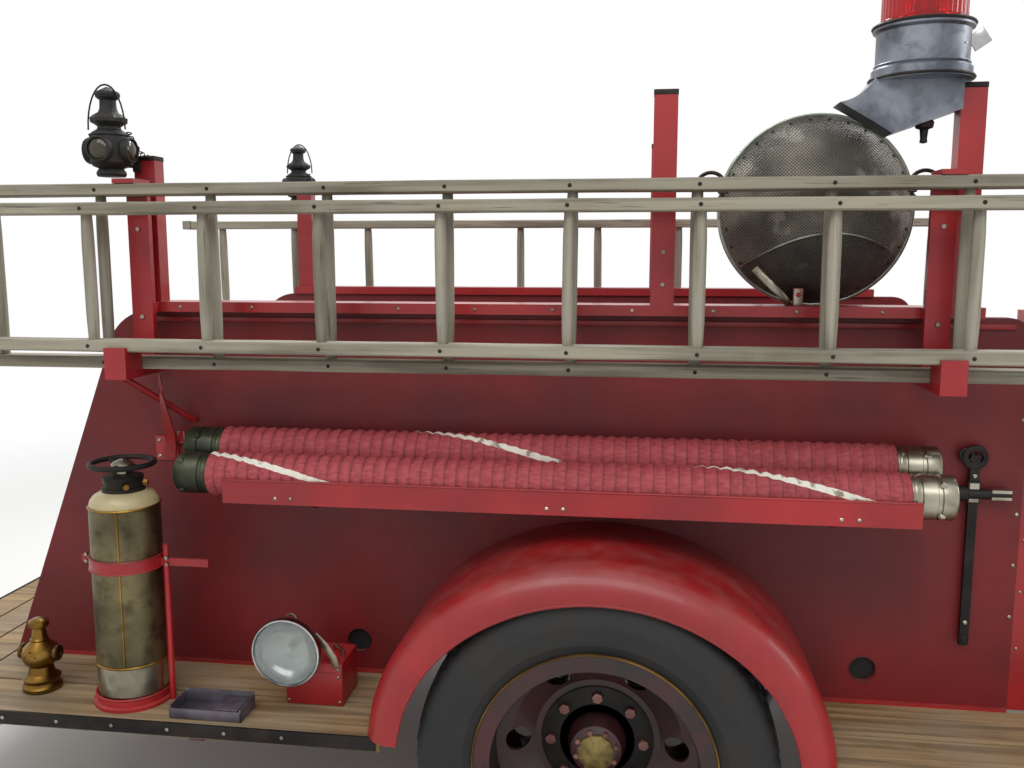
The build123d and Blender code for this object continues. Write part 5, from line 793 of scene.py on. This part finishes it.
extinguisher.use(1).lathe(mm((592, 14), (606, 13), (610, 26), (620, 28), (626, 20), (632, 6), (633, 1)), EXT,
    UP, 32)
RING_Z = 0.6207
extinguisher.use(3).hoop(EXT + Vector((0, 0, RING_Z)), UP, 0.078, 0.007, 56, 10)
for turn in (0.35, 0.35 + 2 * pi / 3, 0.35 + 4 * pi / 3):
    way = Vector((cos(turn), sin(turn), 0))
    spoke = [EXT + way * reach + Vector((0, 0, RING_Z + dip)) for reach,
        dip in ((0.018, -0.002), (0.034, -0.010), (0.052, -0.010), (0.066, -0.004), (0.075, 0.0))]
    extinguisher.use(3).tube(spoke, 0.011, 8, 0.3)
# Raised seam strip in bright brass on the side towards the camera: a real seam, and its brightness against
# the tarnished shell is a painted highlight.
seam = [EXT + Vector((0.0882 * sin(0.30), -0.0882 * cos(0.30), height)) for height in (0.104, 0.25, 0.40,
    0.509)]
extinguisher.use(4).tube(seam, 0.0026, 6, upright=LEFT)
extinguisher.done("extinguisher")

holder = Piece("holder_bolts", NICKEL, BRACKET_RED)
for edge in (-1, 1):
    for drop in (0.840, 0.858):
        holder.use(0).studs([(EXT.x + edge * 0.112, -0.804, drop)], RIGHT, 0.0055, 0.007, 6, False)
holder.use(1).hoop((EXT.x, EXT.y, 0.8335), UP, 0.0935, 0.0018, 64, 6)
holder.use(1).hoop((EXT.x, EXT.y, 0.8645), UP, 0.0935, 0.0018, 64, 6)
holder.use(1).hoop((EXT.x, EXT.y, 0.500), UP, 0.0935, 0.0025, 64, 6)
holder.done()

# Small metal tray on the board by the extinguisher
tray = Piece("board_tray", TRAY_METAL, SOOT)
tray.use(0).box((-2.415, -0.905, 0.470), (-2.225, -0.815, 0.474), 0.0012)
for low, high in (((-2.415, -0.905, 0.471), (-2.411, -0.815, 0.505)),
        ((-2.229, -0.905, 0.471), (-2.225, -0.815, 0.505)),
        ((-2.415, -0.905, 0.471), (-2.225, -0.901, 0.498)),
        ((-2.415, -0.819, 0.471), (-2.225, -0.815, 0.512))):
    tray.use(0).box(low, high, 0.0012)
tray.use(1).box((-2.400, -0.892, 0.4742), (-2.300, -0.828, 0.4762), 0.001)
tray.use(0).box((-2.300, -0.897, 0.474), (-2.236, -0.823, 0.500), 0.004)
tray.done()

# Hand lamp: red battery box, chromed reflector, domed lens, wire bail
BOX_LOW, BOX_HIGH = (-2.152, -0.786, 0.470), (-1.998, -0.656, 0.588)
hand_lamp = Piece("hand_lamp_dressed", BRACKET_RED, CHROME, LENS_CLEAR, NICKEL, SOOT)
hand_lamp.use(0).box(BOX_LOW, BOX_HIGH, 0.006)
hand_lamp.use(4).box((-2.1525, -0.7865, 0.5600), (-1.9975, -0.6555, 0.5616), 0.0004)
hand_lamp.use(3).box((-2.015, -0.7895, 0.548), (-2.003, -0.785, 0.576), 0.001)
hand_lamp.use(3).studs([(-2.009, -0.789, 0.572), (-2.009, -0.789, 0.552)], RIGHT, 0.0035, 0.003)
hand_lamp.use(3).studs([(-2.143, -0.786, 0.482), (-2.007, -0.786, 0.482)], RIGHT, 0.004, 0.003)
hand_lamp.use(3).tube([(-2.045, -0.700, 0.587), (-2.045, -0.705, 0.606), (-2.010, -0.740, 0.606),
    (-2.010, -0.745, 0.587)], 0.004, 8)
LAMP = (-2.121, -0.786, 0.640)
hand_lamp.use(1).lathe(mm((0, 2), (0, 26), (6, 30), (16, 43), (40, 76), (54, 86.5), (56, 89.5), (70, 90),
    (74, 88), (75, 84), (70, 82), (56, 74), (40, 56), (30, 34), (26, 12), (26, 1)), LAMP, RIGHT, 64)
hand_lamp.use(2).lathe(mm((68.8, 81.5), (71.5, 81.5), (74.5, 60), (76.8, 30), (77.5, 1)), LAMP, RIGHT, 56)
hand_lamp.use(1).lathe(mm((27, 10), (38, 9), (46, 6), (48, 1)), LAMP, RIGHT, 20)
hand_lamp.use(3).hoop((-2.121, -0.814, 0.712), LEFT, 0.014, 0.003, 28, 6)
hand_lamp.use(3).box((-2.127, -0.818, 0.696), (-2.115, -0.784, 0.702), 0.001)
bail = [(-2.121 - 0.094 * cos(t), -0.812, 0.640 - 0.094 * sin(t) * 0.7) for t in [-0.5 + pi * k / 14 * 0.5
    for k in range(15)]]
hand_lamp.use(3).tube(bail, 0.0028, 6, upright=LEFT)
hand_lamp.use(3).tube([(-2.066, -0.800, 0.668), (-2.040, -0.797, 0.640), (-2.020, -0.792, 0.606),
    (-2.014, -0.788, 0.580)], 0.010, 8, 0.3, upright=LEFT)
hand_lamp.use(0).box((-2.135, -0.796, 0.528), (-2.107, -0.784, 0.640), 0.002)
hand_lamp.done("hand_lamp")

# Brass play pipe with side outlets and a knob
brass = Piece("play_pipe", BRASS, BRONZE, SOOT)
PIPE = (-2.840, -0.790, 0.470)
brass.use(0).lathe(mm((0, 2), (0, 46), (4, 50), (12, 50), (16, 46), (24, 44), (34, 48), (38, 42), (46, 34),
    (66, 30), (76, 40), (90, 46), (104, 48), (118, 43), (128, 30), (136, 22), (140, 24), (144, 20), (170, 16),
    (174, 24), (180, 26), (190, 25), (196, 16), (197, 1)), PIPE, UP, 40)
for way in (1, -1):
    brass.use(1).lathe(mm((30, 18), (44, 17), (46, 21), (54, 21), (56, 18), (56, 12), (48, 11), (48, 1)),
        (PIPE[0], PIPE[1], 0.572), (way, 0, 0), 24)
brass.use(1).studs(around((PIPE[0], PIPE[1] - 0.045, 0.574), 0.014, 4), RIGHT, 0.003, 0.003, 6)
brass.done("nozzle")

# Wrench hardware
wrench = Piece("wrench_jaw", NICKEL, IRON)
wrench.use(0).box((-0.386, -0.606, 1.033), (-0.338, -0.580, 1.059), 0.003)
wrench.use(1).lathe(mm((0, 19), (10, 20), (26, 18), (30, 14)), (-0.470, -0.594, 1.046), AHEAD, 20)
wrench.use(1).hoop((-0.425, -0.5885, 1.137), LEFT, 0.0245, 0.0070, 40, 8)
wrench.use(1).hoop((-0.446, -0.5885, 1.142), LEFT, 0.0150, 0.0045, 28, 8)
wrench.use(1).box((-0.441, -0.598, 1.020), (-0.409, -0.579, 1.078), 0.005)
wrench.use(1).lathe(mm((0, 1), (2, 9), (10, 11.5), (24, 10.5), (30, 9)), (-0.425, -0.588, 0.650), UP, 16)
wrench.use(0).studs([(-0.425, -0.594, 0.711), (-0.425, -0.594, 1.090)], RIGHT, 0.006, 0.004)
wrench.done()

# Rear ladder bracket: twisted flat brace, panel plate, small clip
brace = Piece("bracket_brace", BRACKET_RED, NICKEL)
path = [Vector((-2.506, -0.700, 1.316)), Vector((-2.510, -0.690, 1.270)), Vector((-2.518, -0.660, 1.215)),
    Vector((-2.530, -0.615, 1.150)), Vector((-2.545, -0.585, 1.105)), Vector((-2.555, -0.576, 1.070))]
sections = []
for k, point in enumerate(path):
    turn = 0.2 + 1.35 * min(1.0, k / 3)
    wide = Vector((sin(turn), -cos(turn) * 0.8, cos(turn) * 0.6)).normalized() * (0.010 + 0.0016 * k)
    thin = (path[min(k + 1, 5)] - path[max(k - 1, 0)]).cross(wide).normalized() * 0.0025
    sections.append([point + wide + thin, point - wide + thin, point - wide - thin, point + wide - thin])
brace.use(0).rings(sections)
brace.use(0).box((-2.594, -0.576, 1.062), (-2.528, -0.5695, 1.131), 0.0015)
brace.use(1).studs([(-2.583, -0.576, 1.074), (-2.583, -0.576, 1.119), (-2.539, -0.576, 1.119)], RIGHT, 0.0055,
    0.004)
brace.use(1).box((-2.526, -0.580, 1.112), (-2.506, -0.5695, 1.146), 0.002)
brace.done()
bolts = Piece("bracket_bolts", NICKEL)
for bracket_x in (-2.566, -0.554):
    for side in (1, -1):
        for bolt_z in (1.400, 1.470, 1.700):
            bolts.studs([(bracket_x, side * 0.6597, bolt_z)], (0, side, 0), 0.0065, 0.005, 6, False)
bolts.done()

# Body trim: cap-rail screws, belt moulding, panel screws, sill strips, plugs behind the panel holes
trim = Piece("body_trim", RED, NICKEL, SOOT, FRAME_RED)
for side in (1, -1):
    screws = [(x * 0.001, side * RAIL_FACE, 1.4945) for x in range(-2480, -470, 201)]
    trim.use(1).studs(screws, (0, side, 0), 0.0048, 0.0030)
    trim.use(0).box((-2.60, side * 0.5685, 1.452), (-0.345, side * 0.577, 1.466), 0.0035)
    for x, heights, head in ((-0.312, (0.723, 0.858, 0.990, 1.230), (0.0050, 0.0032)),
            (-0.290, (0.640, 0.790, 0.925), (0.0040, 0.0028))):
        places = [(x, side * BODY_HALF, z) for z in heights]
        trim.use(1).studs(places, (0, side, 0), *head)
    for span in ((-3.055, -1.905), (-0.778, -0.305)):
        trim.use(3).box((span[0], side * 0.5640, 0.4660), (span[1], side * 0.5790, 0.4790), 0.001)
    for hole_x in (-2.018, -0.662):
        trim.use(2).lathe(mm((0, 1), (0, 33.5), (4, 33.5), (4, 1)), (hole_x, side * 0.556, 0.562),
            (0, side, 0), 32)
        trim.use(3).hoop((hole_x, side * 0.5702, 0.562), LEFT, 0.0335, 0.0018, 40, 6)
trim.done()

# Post tops and rail ends
caps = Piece("post_caps", IRON, NICKEL)
for post_x, top in zip(POSTS, (1.890, 2.030, 2.030)):
    for side in (1, -1):
        caps.use(0).box((post_x - 0.030, side * BODY_HALF, top - 0.010), (post_x + 0.030, side * 0.622,
            top + 0.0025), 0.0018)
        places = [(post_x, side * 0.6205, z) for z in (1.560, 1.640)]
        caps.use(1).studs(places, (0, side, 0), 0.006, 0.004, 6, False)
caps.done()

# Rolled outer edges of the fenders
LIP_STEP = 0.07


def lip_points(node, side, middle, reach):
    """Lower edge of a fender's outer face, as (X, Z) points in order round the wheel."""
    best = {}
    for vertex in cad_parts[node].data.vertices:
        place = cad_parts[node].matrix_world @ vertex.co
        if place.y * side > reach and place.z > 0.45:
            turn = atan2(place.z - middle[1], place.x - middle[0])
            key = round(turn / LIP_STEP)
            span = (place.x - middle[0]) ** 2 + (place.z - middle[1]) ** 2
            if key not in best or span < best[key][0]:
                best[key] = (span, place.x, place.z)
    return [(x, z) for _, (_, x, z) in sorted(best.items())]


for node, middle, name in (("rear_fenders", REAR_AXLE, "rear"), ("front_fenders", FRONT_AXLE, "front")):
    for side, side_name in SIDES:
        edge = lip_points(node, side, middle, 0.9635)
        if len(edge) > 4:
            bead = Piece(f"fender_bead_{name}_{side_name}", RED)
            bead.tube([(x, side * 0.9625, z) for x, z in edge], 0.0048, 8, upright=LEFT)
            bead.done()
stays = Piece("fender_stays", TRAY_METAL, NICKEL)
for side in (1, -1):
    stays.use(0).tube([(-0.908, side * 0.945, 0.700), (-0.918, side * 0.900, 0.672),
        (-0.928, side * 0.840, 0.630), (-0.930, side * 0.780, 0.560), (-0.930, side * 0.700, 0.480)], 0.011,
        8, 0.3, upright=LEFT)
stays.done()

# Boards: worn iron edging and its screws
edging = Piece("board_edging", IRON, NICKEL)
for side in (1, -1):
    for span in ((-3.058, -1.870), (-0.815, 1.842)):
        edging.use(0).box((span[0], side * 0.9255, 0.438), (span[1], side * 0.9335, 0.4725), 0.0015)
        count = int((span[1] - span[0]) / 0.15)
        edging.use(1).studs([(span[0] + 0.05 + k * 0.15, side * 0.9335, 0.455) for k in range(count)],
            (0, side, 0), 0.0048, 0.0026)
edging.use(0).box((-3.4035, -0.926, 0.438), (-3.3955, 0.926, 0.4725), 0.0015)
edging.use(1).studs([(-3.4035, -0.85 + 0.17 * k, 0.455) for k in range(11)], (-1, 0, 0), 0.0048, 0.0026)
edging.done()

# Hose tray: rounded lip edge and rivets
lip = Piece("tray_lip", BRACKET_RED, NICKEL)
lip.use(0).tube([(-2.296, -0.8005, 1.068), (-0.601, -0.8005, 1.068)], 0.0032, 8)
lip.use(1).studs([(-2.137 + 0.02 * j + 0.6885 * k, -0.8022, 1.024) for k in range(3) for j in (-1, 1)], RIGHT,
    0.005, 0.003)
lip.done()


# Hood: louvre lips, catches and handles; each half turns with its own body
HOOD_REAR, HOOD_RUN = 1.260, 1.250
HOOD_HALF, HOOD_NARROWS = 0.400, 0.095


def hood_half(x):
    """Half width of the hood's flat side at X."""
    return HOOD_HALF - HOOD_NARROWS * (x - HOOD_REAR) / HOOD_RUN


HOOD_TILT = atan2(HOOD_NARROWS, HOOD_RUN)
for side, name in SIDES:
    hood = Piece(f"hood_trim_{name}", RED, CHROME, body=f"hood_{name}")
    turn = Matrix.Rotation(-side * HOOD_TILT, 3, "Z")
    for k in range(14):
        x = 1.5665 + 0.050 * k
        y = side * (hood_half(x) + 0.0025)
        hood.use(0).box((x - 0.010, y - 0.0035, 0.948), (x + 0.002, y + 0.0035, 1.092), 0.003, turn)
    for x in (1.42, 2.34):
        y = side * (hood_half(x) + 0.006)
        hood.use(1).box((x - 0.018, y - 0.006, 0.886), (x + 0.018, y + 0.006, 0.930), 0.003, turn)
        hood.use(1).tube([(x, y + side * 0.006, 0.924), (x, y + side * 0.022, 0.918),
            (x, y + side * 0.024, 0.896)], 0.005, 8, upright=AHEAD)
    x = 1.90
    y = side * (hood_half(x) + 0.001)
    hood.use(1).tube([(x - 0.060, y, 1.150), (x - 0.055, y + side * 0.024, 1.150),
        (x + 0.055, y + side * 0.024, 1.150), (x + 0.060, y, 1.150)], 0.0055, 8)
    hood.done()

# Radiator cap and shell trim
nose = Piece("nose_trim", CHROME, NICKEL)
nose.use(0).lathe(mm((0, 26), (0, 34), (4, 36), (12, 36), (16, 30), (22, 16), (30, 12), (36, 14), (40, 8),
    (41, 1)), (2.560, 0, 1.3505), UP, 36, lambda number, k: -0.0015 * (k % 3 == 0) if 1 < number < 4 else 0.0)
for side in (1, -1):
    nose.use(1).studs([(2.6305, side * 0.284, z) for z in (0.80, 0.92, 1.04, 1.14)], AHEAD, 0.005, 0.003)
nose.done()

# Lamp glasses and rims
glasses = Piece("lamp_glasses", LENS_CLEAR, CHROME, LENS_RED, NICKEL)
for side in (1, -1):
    place = (2.7175, side * 0.420, 1.130)
    glasses.use(0).lathe(mm((0, 97), (4, 94), (9, 60), (12.5, 20), (13, 1)), place, AHEAD, 64,
        lambda number, k: 0.0006 * (k % 2))
    glasses.use(1).hoop((2.7165, side * 0.420, 1.130), AHEAD, 0.100, 0.0045, 72, 8)
    glasses.use(1).hoop((2.690, side * 0.420, 1.130), AHEAD, 0.1085, 0.0022, 72, 6)
    place = (-3.309, side * 0.640, 0.570)
    glasses.use(2).lathe(mm((0, 37), (3, 36), (8, 26), (10.5, 10), (11, 1)), place, (-1, 0, 0), 40,
        lambda number, k: 0.0005 * (k % 2))
    glasses.use(3).hoop((-3.310, side * 0.640, 0.570), AHEAD, 0.0385, 0.0030, 48, 6)
glasses.done()

# Dials: blank faces with plain marks and one needle each
dials = Piece("dials", DIAL, CHROME, SOOT, NEEDLE)


def dial(centre, axis, radius, needle):
    axis = Vector(axis)
    across = Vector(UP).cross(axis)
    centre = Vector(centre)
    dials.use(0).lathe([(0, 0.001), (0, radius * 0.88), (0.0012, radius * 0.88), (0.0012, 0.001)], centre,
        axis, 48)
    dials.use(1).hoop(centre + axis * 0.001, axis, radius * 0.93, radius * 0.07, 48, 8)
    for k in range(11):
        turn = radians(-135 + 27 * k)
        way = across * sin(turn) + Vector(UP) * cos(turn)
        mark = [centre + axis * 0.0014 + way * radius * share for share in (0.68, 0.80)]
        dials.use(2).tube(mark, radius * 0.018, 4, upright=axis)
    way = across * sin(needle) + Vector(UP) * cos(needle)
    dials.use(3).tube([centre + axis * 0.0018 - way * radius * 0.16, centre + axis * 0.0018 + way * radius
        * 0.62], radius * 0.024, 5, upright=axis)
    dials.use(2).lathe([(0, radius * 0.10), (0.003, radius * 0.09), (0.004, 0.0005)], centre + axis * 0.0012,
        axis, 20)


for dial_y, dial_r, needle in ((0.040, 0.046, -0.9), (-0.090, 0.040, 0.4), (-0.200, 0.040, -2.2)):
    dial((0.9898, dial_y, 1.300), (-1, 0, 0), dial_r, needle)
for side in (1, -1):
    for dial_x, needle in ((-0.201, -2.3), (-0.041, -1.6)):
        dial((dial_x, side * 0.5902, 1.200), (0, side, 0), 0.052, needle)
dials.done()

# Pump outlets: coupling rims with lugs; the mouths stay open
OUTLET_X = -0.121
outlets = Piece("outlet_rims", BRONZE, CHROME)
for side in (1, -1):
    for height, bore in ((0.860, 0.051), (1.060, 0.032)):
        wall = 0.014 if bore > 0.04 else 0.010
        outlets.use(0).lathe([(0, bore + 0.002), (0, bore + wall + 0.004), (-0.006, bore + wall + 0.006),
            (-0.024, bore + wall + 0.006), (-0.028, bore + wall - 0.001)], (OUTLET_X, side * 0.636, height),
            (0, side, 0), 48)
        for k in range(3):
            turn = 0.5 + 2 * pi * k / 3
            way = Vector((cos(turn), 0, sin(turn)))
            outlets.use(0).studs([Vector((OUTLET_X, side * 0.6215, height)) + way * (bore + wall + 0.004)],
                way, 0.009, 0.012, 10)
        outlets.use(1).hoop((OUTLET_X, side * 0.574, height), LEFT, bore + wall + 0.008, 0.005, 48, 8)
outlets.done()

# Cab: pedals, levers, horn button, windshield fittings
cab = Piece("cab_controls", IRON, SOOT, NICKEL, PEDAL)
for pedal_y in (0.420, 0.330, 0.240):
    cab.use(3).box((1.128, pedal_y - 0.032, 0.890), (1.142, pedal_y + 0.032, 0.960), 0.004,
        Matrix.Rotation(-0.55, 3, "Y"))
    cab.use(0).tube([(1.140, pedal_y, 0.925), (1.190, pedal_y, 0.935), (1.243, pedal_y, 0.900)], 0.007, 8)
cab.use(0).tube([(1.140, 0.020, 0.806), (1.125, 0.020, 0.960), (1.075, 0.025, 1.090), (1.050, 0.030, 1.150)],
    0.009, 10)
cab.use(1).lathe(mm((0, 8), (6, 19), (18, 24), (30, 19), (36, 6), (37, 1)), (1.050, 0.030, 1.142),
    (-0.3, 0.02, 1), 24)
cab.use(0).tube([(1.170, -0.110, 0.806), (1.150, -0.110, 0.960), (1.090, -0.110, 1.110)], 0.010, 10, 0.6)
cab.use(2).tube([(1.095, -0.110, 1.095), (1.072, -0.110, 1.150)], 0.013, 10)
cab.use(0).lathe(mm((0, 60), (4, 58), (20, 40), (50, 22), (56, 12)), (1.140, 0.020, 0.8055), UP, 28,
    lambda number, k: 0.0012 * sin(k * pi / 2))
for side in (1, -1):
    cab.use(2).lathe(mm((0, 12), (10, 14), (14, 10), (22, 16), (26, 6), (27, 1)),
        (0.984, side * 0.519, 1.420), (0, side, 0), 20)
    cab.use(2).lathe(mm((0, 12), (10, 14), (14, 10), (18, 1)), (0.958, side * 0.519, 1.790), (0, side, 0), 20)
cab.done()

horn = Piece("horn_button", SOOT, CHROME, body="steering_wheel")
wheel_way = Vector((-0.76689, 0, 0.64175))
wheel_hub = Vector((0.760, 0.330, 1.400))
horn.use(1).lathe(mm((19, 31), (23, 31), (25, 24)), wheel_hub, wheel_way, 36)
horn.use(0).lathe(mm((19.5, 24), (26, 23), (31, 14), (32, 1)), wheel_hub, wheel_way, 36)
horn.done()

# Spring clips over both axles
under = Piece("spring_clips", IRON)
for axle_x, low, high in ((REAR_AXLE[0], 0.478, 0.560), (FRONT_AXLE[0], 0.470, 0.550)):
    for side in (1, -1):
        for reach in (-0.060, 0.060):
            clip = (axle_x + reach, side * 0.3975)
            under.box((clip[0] - 0.006, clip[1] - 0.034, low), (clip[0] + 0.006, clip[1] + 0.034, high),
                0.003)
under.done()


# Seat pads: blown-up hide, sewn down along channels, with piping at the edges
def swollen(name, low, high, face, lines, reach):
    """Closed pad whose named face is sewn along lines across Y; a short cloth run blows it up."""
    blank = Piece(name, HIDE)
    blank.box(low, high, 0.012)
    made = blank.done("seat_pads")
    remesh = made.modifiers.new("remesh", "REMESH")
    remesh.mode = "VOXEL"
    remesh.voxel_size = 0.009
    graph = bpy.context.evaluated_depsgraph_get()
    body = bpy.data.meshes.new_from_object(made.evaluated_get(graph))
    made.modifiers.clear()
    made.data = body
    axis = "xyz".index(face)
    pinned = made.vertex_groups.new(name="sewn")
    for vertex in body.vertices:
        place = vertex.co
        edge = min(place.y - low[1], high[1] - place.y)
        across = min(place[2 - axis] - low[2 - axis], high[2 - axis] - place[2 - axis])
        outer = place[axis] > high[axis] - 0.014
        back = place[axis] < low[axis] + 0.016
        seam = outer and min(edge, across) < 0.012
        near = min(abs(place.y - line) for line in lines)
        channel = outer and near < 0.0055 and across > 0.030
        if channel:
            vertex.co[axis] -= 0.010
        if seam or back or channel:
            pinned.add([vertex.index], 1.0, "REPLACE")
    cloth = made.modifiers.new("cloth", "CLOTH")
    cloth.settings.quality = 5
    cloth.settings.mass = 0.3
    cloth.settings.use_pressure = True
    cloth.settings.uniform_pressure_force = 4.0
    cloth.settings.vertex_group_mass = "sewn"
    cloth.settings.effector_weights.gravity = 0.0
    cloth.collision_settings.use_collision = False
    for number in range(1, 21):
        bpy.context.scene.frame_set(number)
    graph = bpy.context.evaluated_depsgraph_get()
    blown = bpy.data.meshes.new_from_object(made.evaluated_get(graph))
    made.modifiers.clear()
    for vertex, start in zip(blown.vertices, [v.co.copy() for v in body.vertices]):
        move = vertex.co - start
        if move.length > reach:
            vertex.co = start + move.normalized() * reach
    made.data = blown
    bpy.context.scene.frame_set(1)
    smooth = made.modifiers.new("smooth", "CORRECTIVE_SMOOTH")
    smooth.iterations = 3
    smooth.use_only_smooth = True
    finer = made.modifiers.new("finer", "SUBSURF")
    finer.levels = 1
    graph = bpy.context.evaluated_depsgraph_get()
    made.data = bpy.data.meshes.new_from_object(made.evaluated_get(graph))
    made.modifiers.clear()
    made.vertex_groups.clear()
    made.data.materials.clear()
    made.data.materials.append(HIDE)
    made.data.polygons.foreach_set("use_smooth", [True] * len(made.data.polygons))
    return made


CHANNELS = [-0.459 + 0.0765 * k for k in range(13)]
swollen("seat_cushion", (0.096, -0.528, 1.0815), (0.587, 0.528, 1.176), "z", CHANNELS, 0.022)
swollen("seat_back", (0.0885, -0.528, 1.196), (0.180, 0.528, 1.632), "x", CHANNELS, 0.022)
piping = Piece("seat_piping", HIDE)


def cord_loop(corners, round_by=0.02):
    """Closed run of points through rounded corners."""
    points = []
    for k, corner in enumerate(corners):
        corner = Vector(corner)
        before, after = Vector(corners[k - 1]), Vector(corners[(k + 1) % len(corners)])
        start = corner + (before - corner).normalized() * round_by
        end = corner + (after - corner).normalized() * round_by
        for step in range(5):
            share = step / 4
            points.append(start.lerp(corner, share).lerp(corner.lerp(end, share), share))
    return points


piping.tube(cord_loop([(0.099, -0.526, 1.173), (0.585, -0.526, 1.173), (0.585, 0.526, 1.173),
    (0.099, 0.526, 1.173)]), 0.0055, 8, closed=True)
piping.tube(cord_loop([(0.177, -0.526, 1.199), (0.177, 0.526, 1.199), (0.177, 0.526, 1.630),
    (0.177, -0.526, 1.630)]), 0.0055, 8, closed=True, upright=AHEAD)
piping.done()

# Materials of the CAD nodes
NODE_MATERIALS = (
    (FRAME_RED, "frame_rails cross_members board_arms"),
    (CHROME, "front_bumper hose_couplings radiator_shell lamps"),
    (GREASY, "front_axle rear_axle leaf_springs knuckle_left knuckle_right tie_rod"),
    (ENGINE_GREY, "drivetrain"),
    (RUSTY, "exhaust"),
    # The body sides take the darker copy of the body red, which is painted shade.
    (SHADED_PANEL_RED, "body_sides"),
    (RED, "hose_bed cap_rails rear_fenders front_fenders pump_panels cab_tub cowl hood_ledges hood_left "
     "hood_right"),
    (OAK_X, "running_boards"),
    (BRACKET_RED, "ladder_brackets hose_tray extinguisher_holder hand_lamp"),
    (IRON, "strainer_baskets hydrant_wrench suction_hoses"),
    (TARNISHED, "extinguisher"),
    (BRASS, "nozzle"),
    (BEACON_GREY, "beacon_base"),
    (LENS_RED, "beacon_lens"),
    (BRONZE, "pump_unit"),
    (HIDE, "seat_pads"),
    (BLACK, "radiator_grille steering_column steering_wheel lanterns"),
    (NICKEL, "windshield_frame"),
    (GLASS, "windshield_glass"),
    (WHEEL_RED, "rear_wheels_left rear_wheels_right front_wheel_left front_wheel_right"),
    (STRAP_HIDE, "hand_straps"),
    (LADDER_X, "ladder_bed ladder_fly ladder_far"),
    (LADDER_Z, "ladder_bed_rungs ladder_fly_rungs"),
    (RUBBER, "rear_tyres_left rear_tyres_right front_tyre_left front_tyre_right"),
)
for node_material, node_names in NODE_MATERIALS:
    for node_name in node_names.split():
        node_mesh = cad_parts[node_name].data
        node_mesh.materials.clear()
        node_mesh.materials.append(node_material)


# Floor and light
def seen_rays(tree):
    """1 for the rays that show the backdrop: straight from the camera, in gloss and through glass."""
    rays = tree.nodes.new("ShaderNodeLightPath")
    seen = rays.outputs["Is Camera Ray"]
    for kind in ("Is Glossy Ray", "Is Transmission Ray"):
        total = tree.nodes.new("ShaderNodeMath")
        total.operation = "ADD"
        total.use_clamp = True
        tree.links.new(seen, total.inputs[0])
        tree.links.new(rays.outputs[kind], total.inputs[1])
        seen = total.outputs[0]
    return seen


def mix_to_white(tree, amount, lit, white_kind, target):
    """Blend a shader into plain white by the amount, on the given output."""
    white = tree.nodes.new(white_kind)
    white.inputs["Strength"].default_value = 1.0
    white.inputs["Color"].default_value = rgb("ffffff")
    chooser = tree.nodes.new("ShaderNodeMixShader")
    tree.links.new(amount, chooser.inputs[0])
    tree.links.new(lit, chooser.inputs[1])
    tree.links.new(white.outputs[0], chooser.inputs[2])
    tree.links.new(chooser.outputs[0], target)


FLOOR_HALF = 30.0
FADE = (4.2, 8.5)
floor_shader = Shader("pale_floor", roughness=0.9)
floor_tone = floor_shader.mix(floor_shader.noise(0.7, 3), rgb("d9d8d4"), rgb("e2e1de"))
floor_material = floor_shader.finish(floor_tone)
spread = floor_shader.nodes.new("ShaderNodeVectorMath")
spread.operation = "LENGTH"
floor_shader.links.new(floor_shader.place, spread.inputs[0])
far_floor = floor_shader.math("MULTIPLY", floor_shader.ramp(spread.outputs["Value"], *FADE),
    seen_rays(floor_material.node_tree))
mix_to_white(floor_material.node_tree, far_floor, floor_shader.surface.outputs[0], "ShaderNodeEmission",
    floor_shader.nodes["Material Output"].inputs["Surface"])
floor_mesh = bpy.data.meshes.new("floor")
floor_mesh.from_pydata([(-FLOOR_HALF, -FLOOR_HALF, 0), (FLOOR_HALF, -FLOOR_HALF, 0),
    (FLOOR_HALF, FLOOR_HALF, 0), (-FLOOR_HALF, FLOOR_HALF, 0)], [], [(0, 1, 2, 3)])
floor_mesh.materials.append(floor_material)
floor = bpy.data.objects.new("floor", floor_mesh)
bpy.context.collection.objects.link(floor)

world = bpy.data.worlds.new("studio")
bpy.context.scene.world = world
world.use_nodes = True
sky = world.node_tree.nodes["Background"]
sky.inputs["Strength"].default_value = 0.8
sky.inputs["Color"].default_value = rgb("f2f3f5")
mix_to_white(world.node_tree, seen_rays(world.node_tree), sky.outputs[0], "ShaderNodeBackground",
    world.node_tree.nodes["World Output"].inputs["Surface"])


def soft_light(name, place, aim, size, power):
    """Square area lamp that points at a place."""
    data = bpy.data.lights.new(name, "AREA")
    data.shape = "RECTANGLE"
    data.size, data.size_y = size
    data.energy = power
    lamp = bpy.data.objects.new(name, data)
    lamp.location = place
    lamp.rotation_euler = (Vector(aim) - Vector(place)).to_track_quat("-Z", "Y").to_euler()
    bpy.context.collection.objects.link(lamp)


soft_light("key", (-1.5, -4.5, 5.5), (0, 0, 0.9), (7.0, 2.5), 190)
soft_light("tube", (-0.5, 2.5, 5.0), (-0.5, -0.6, 1.0), (8.0, 0.9), 300)
soft_light("nose", (7.5, 0.5, 4.0), (1.0, 0, 0.8), (3.0, 3.0), 120)

bpy.context.scene.view_settings.view_transform = "Standard"
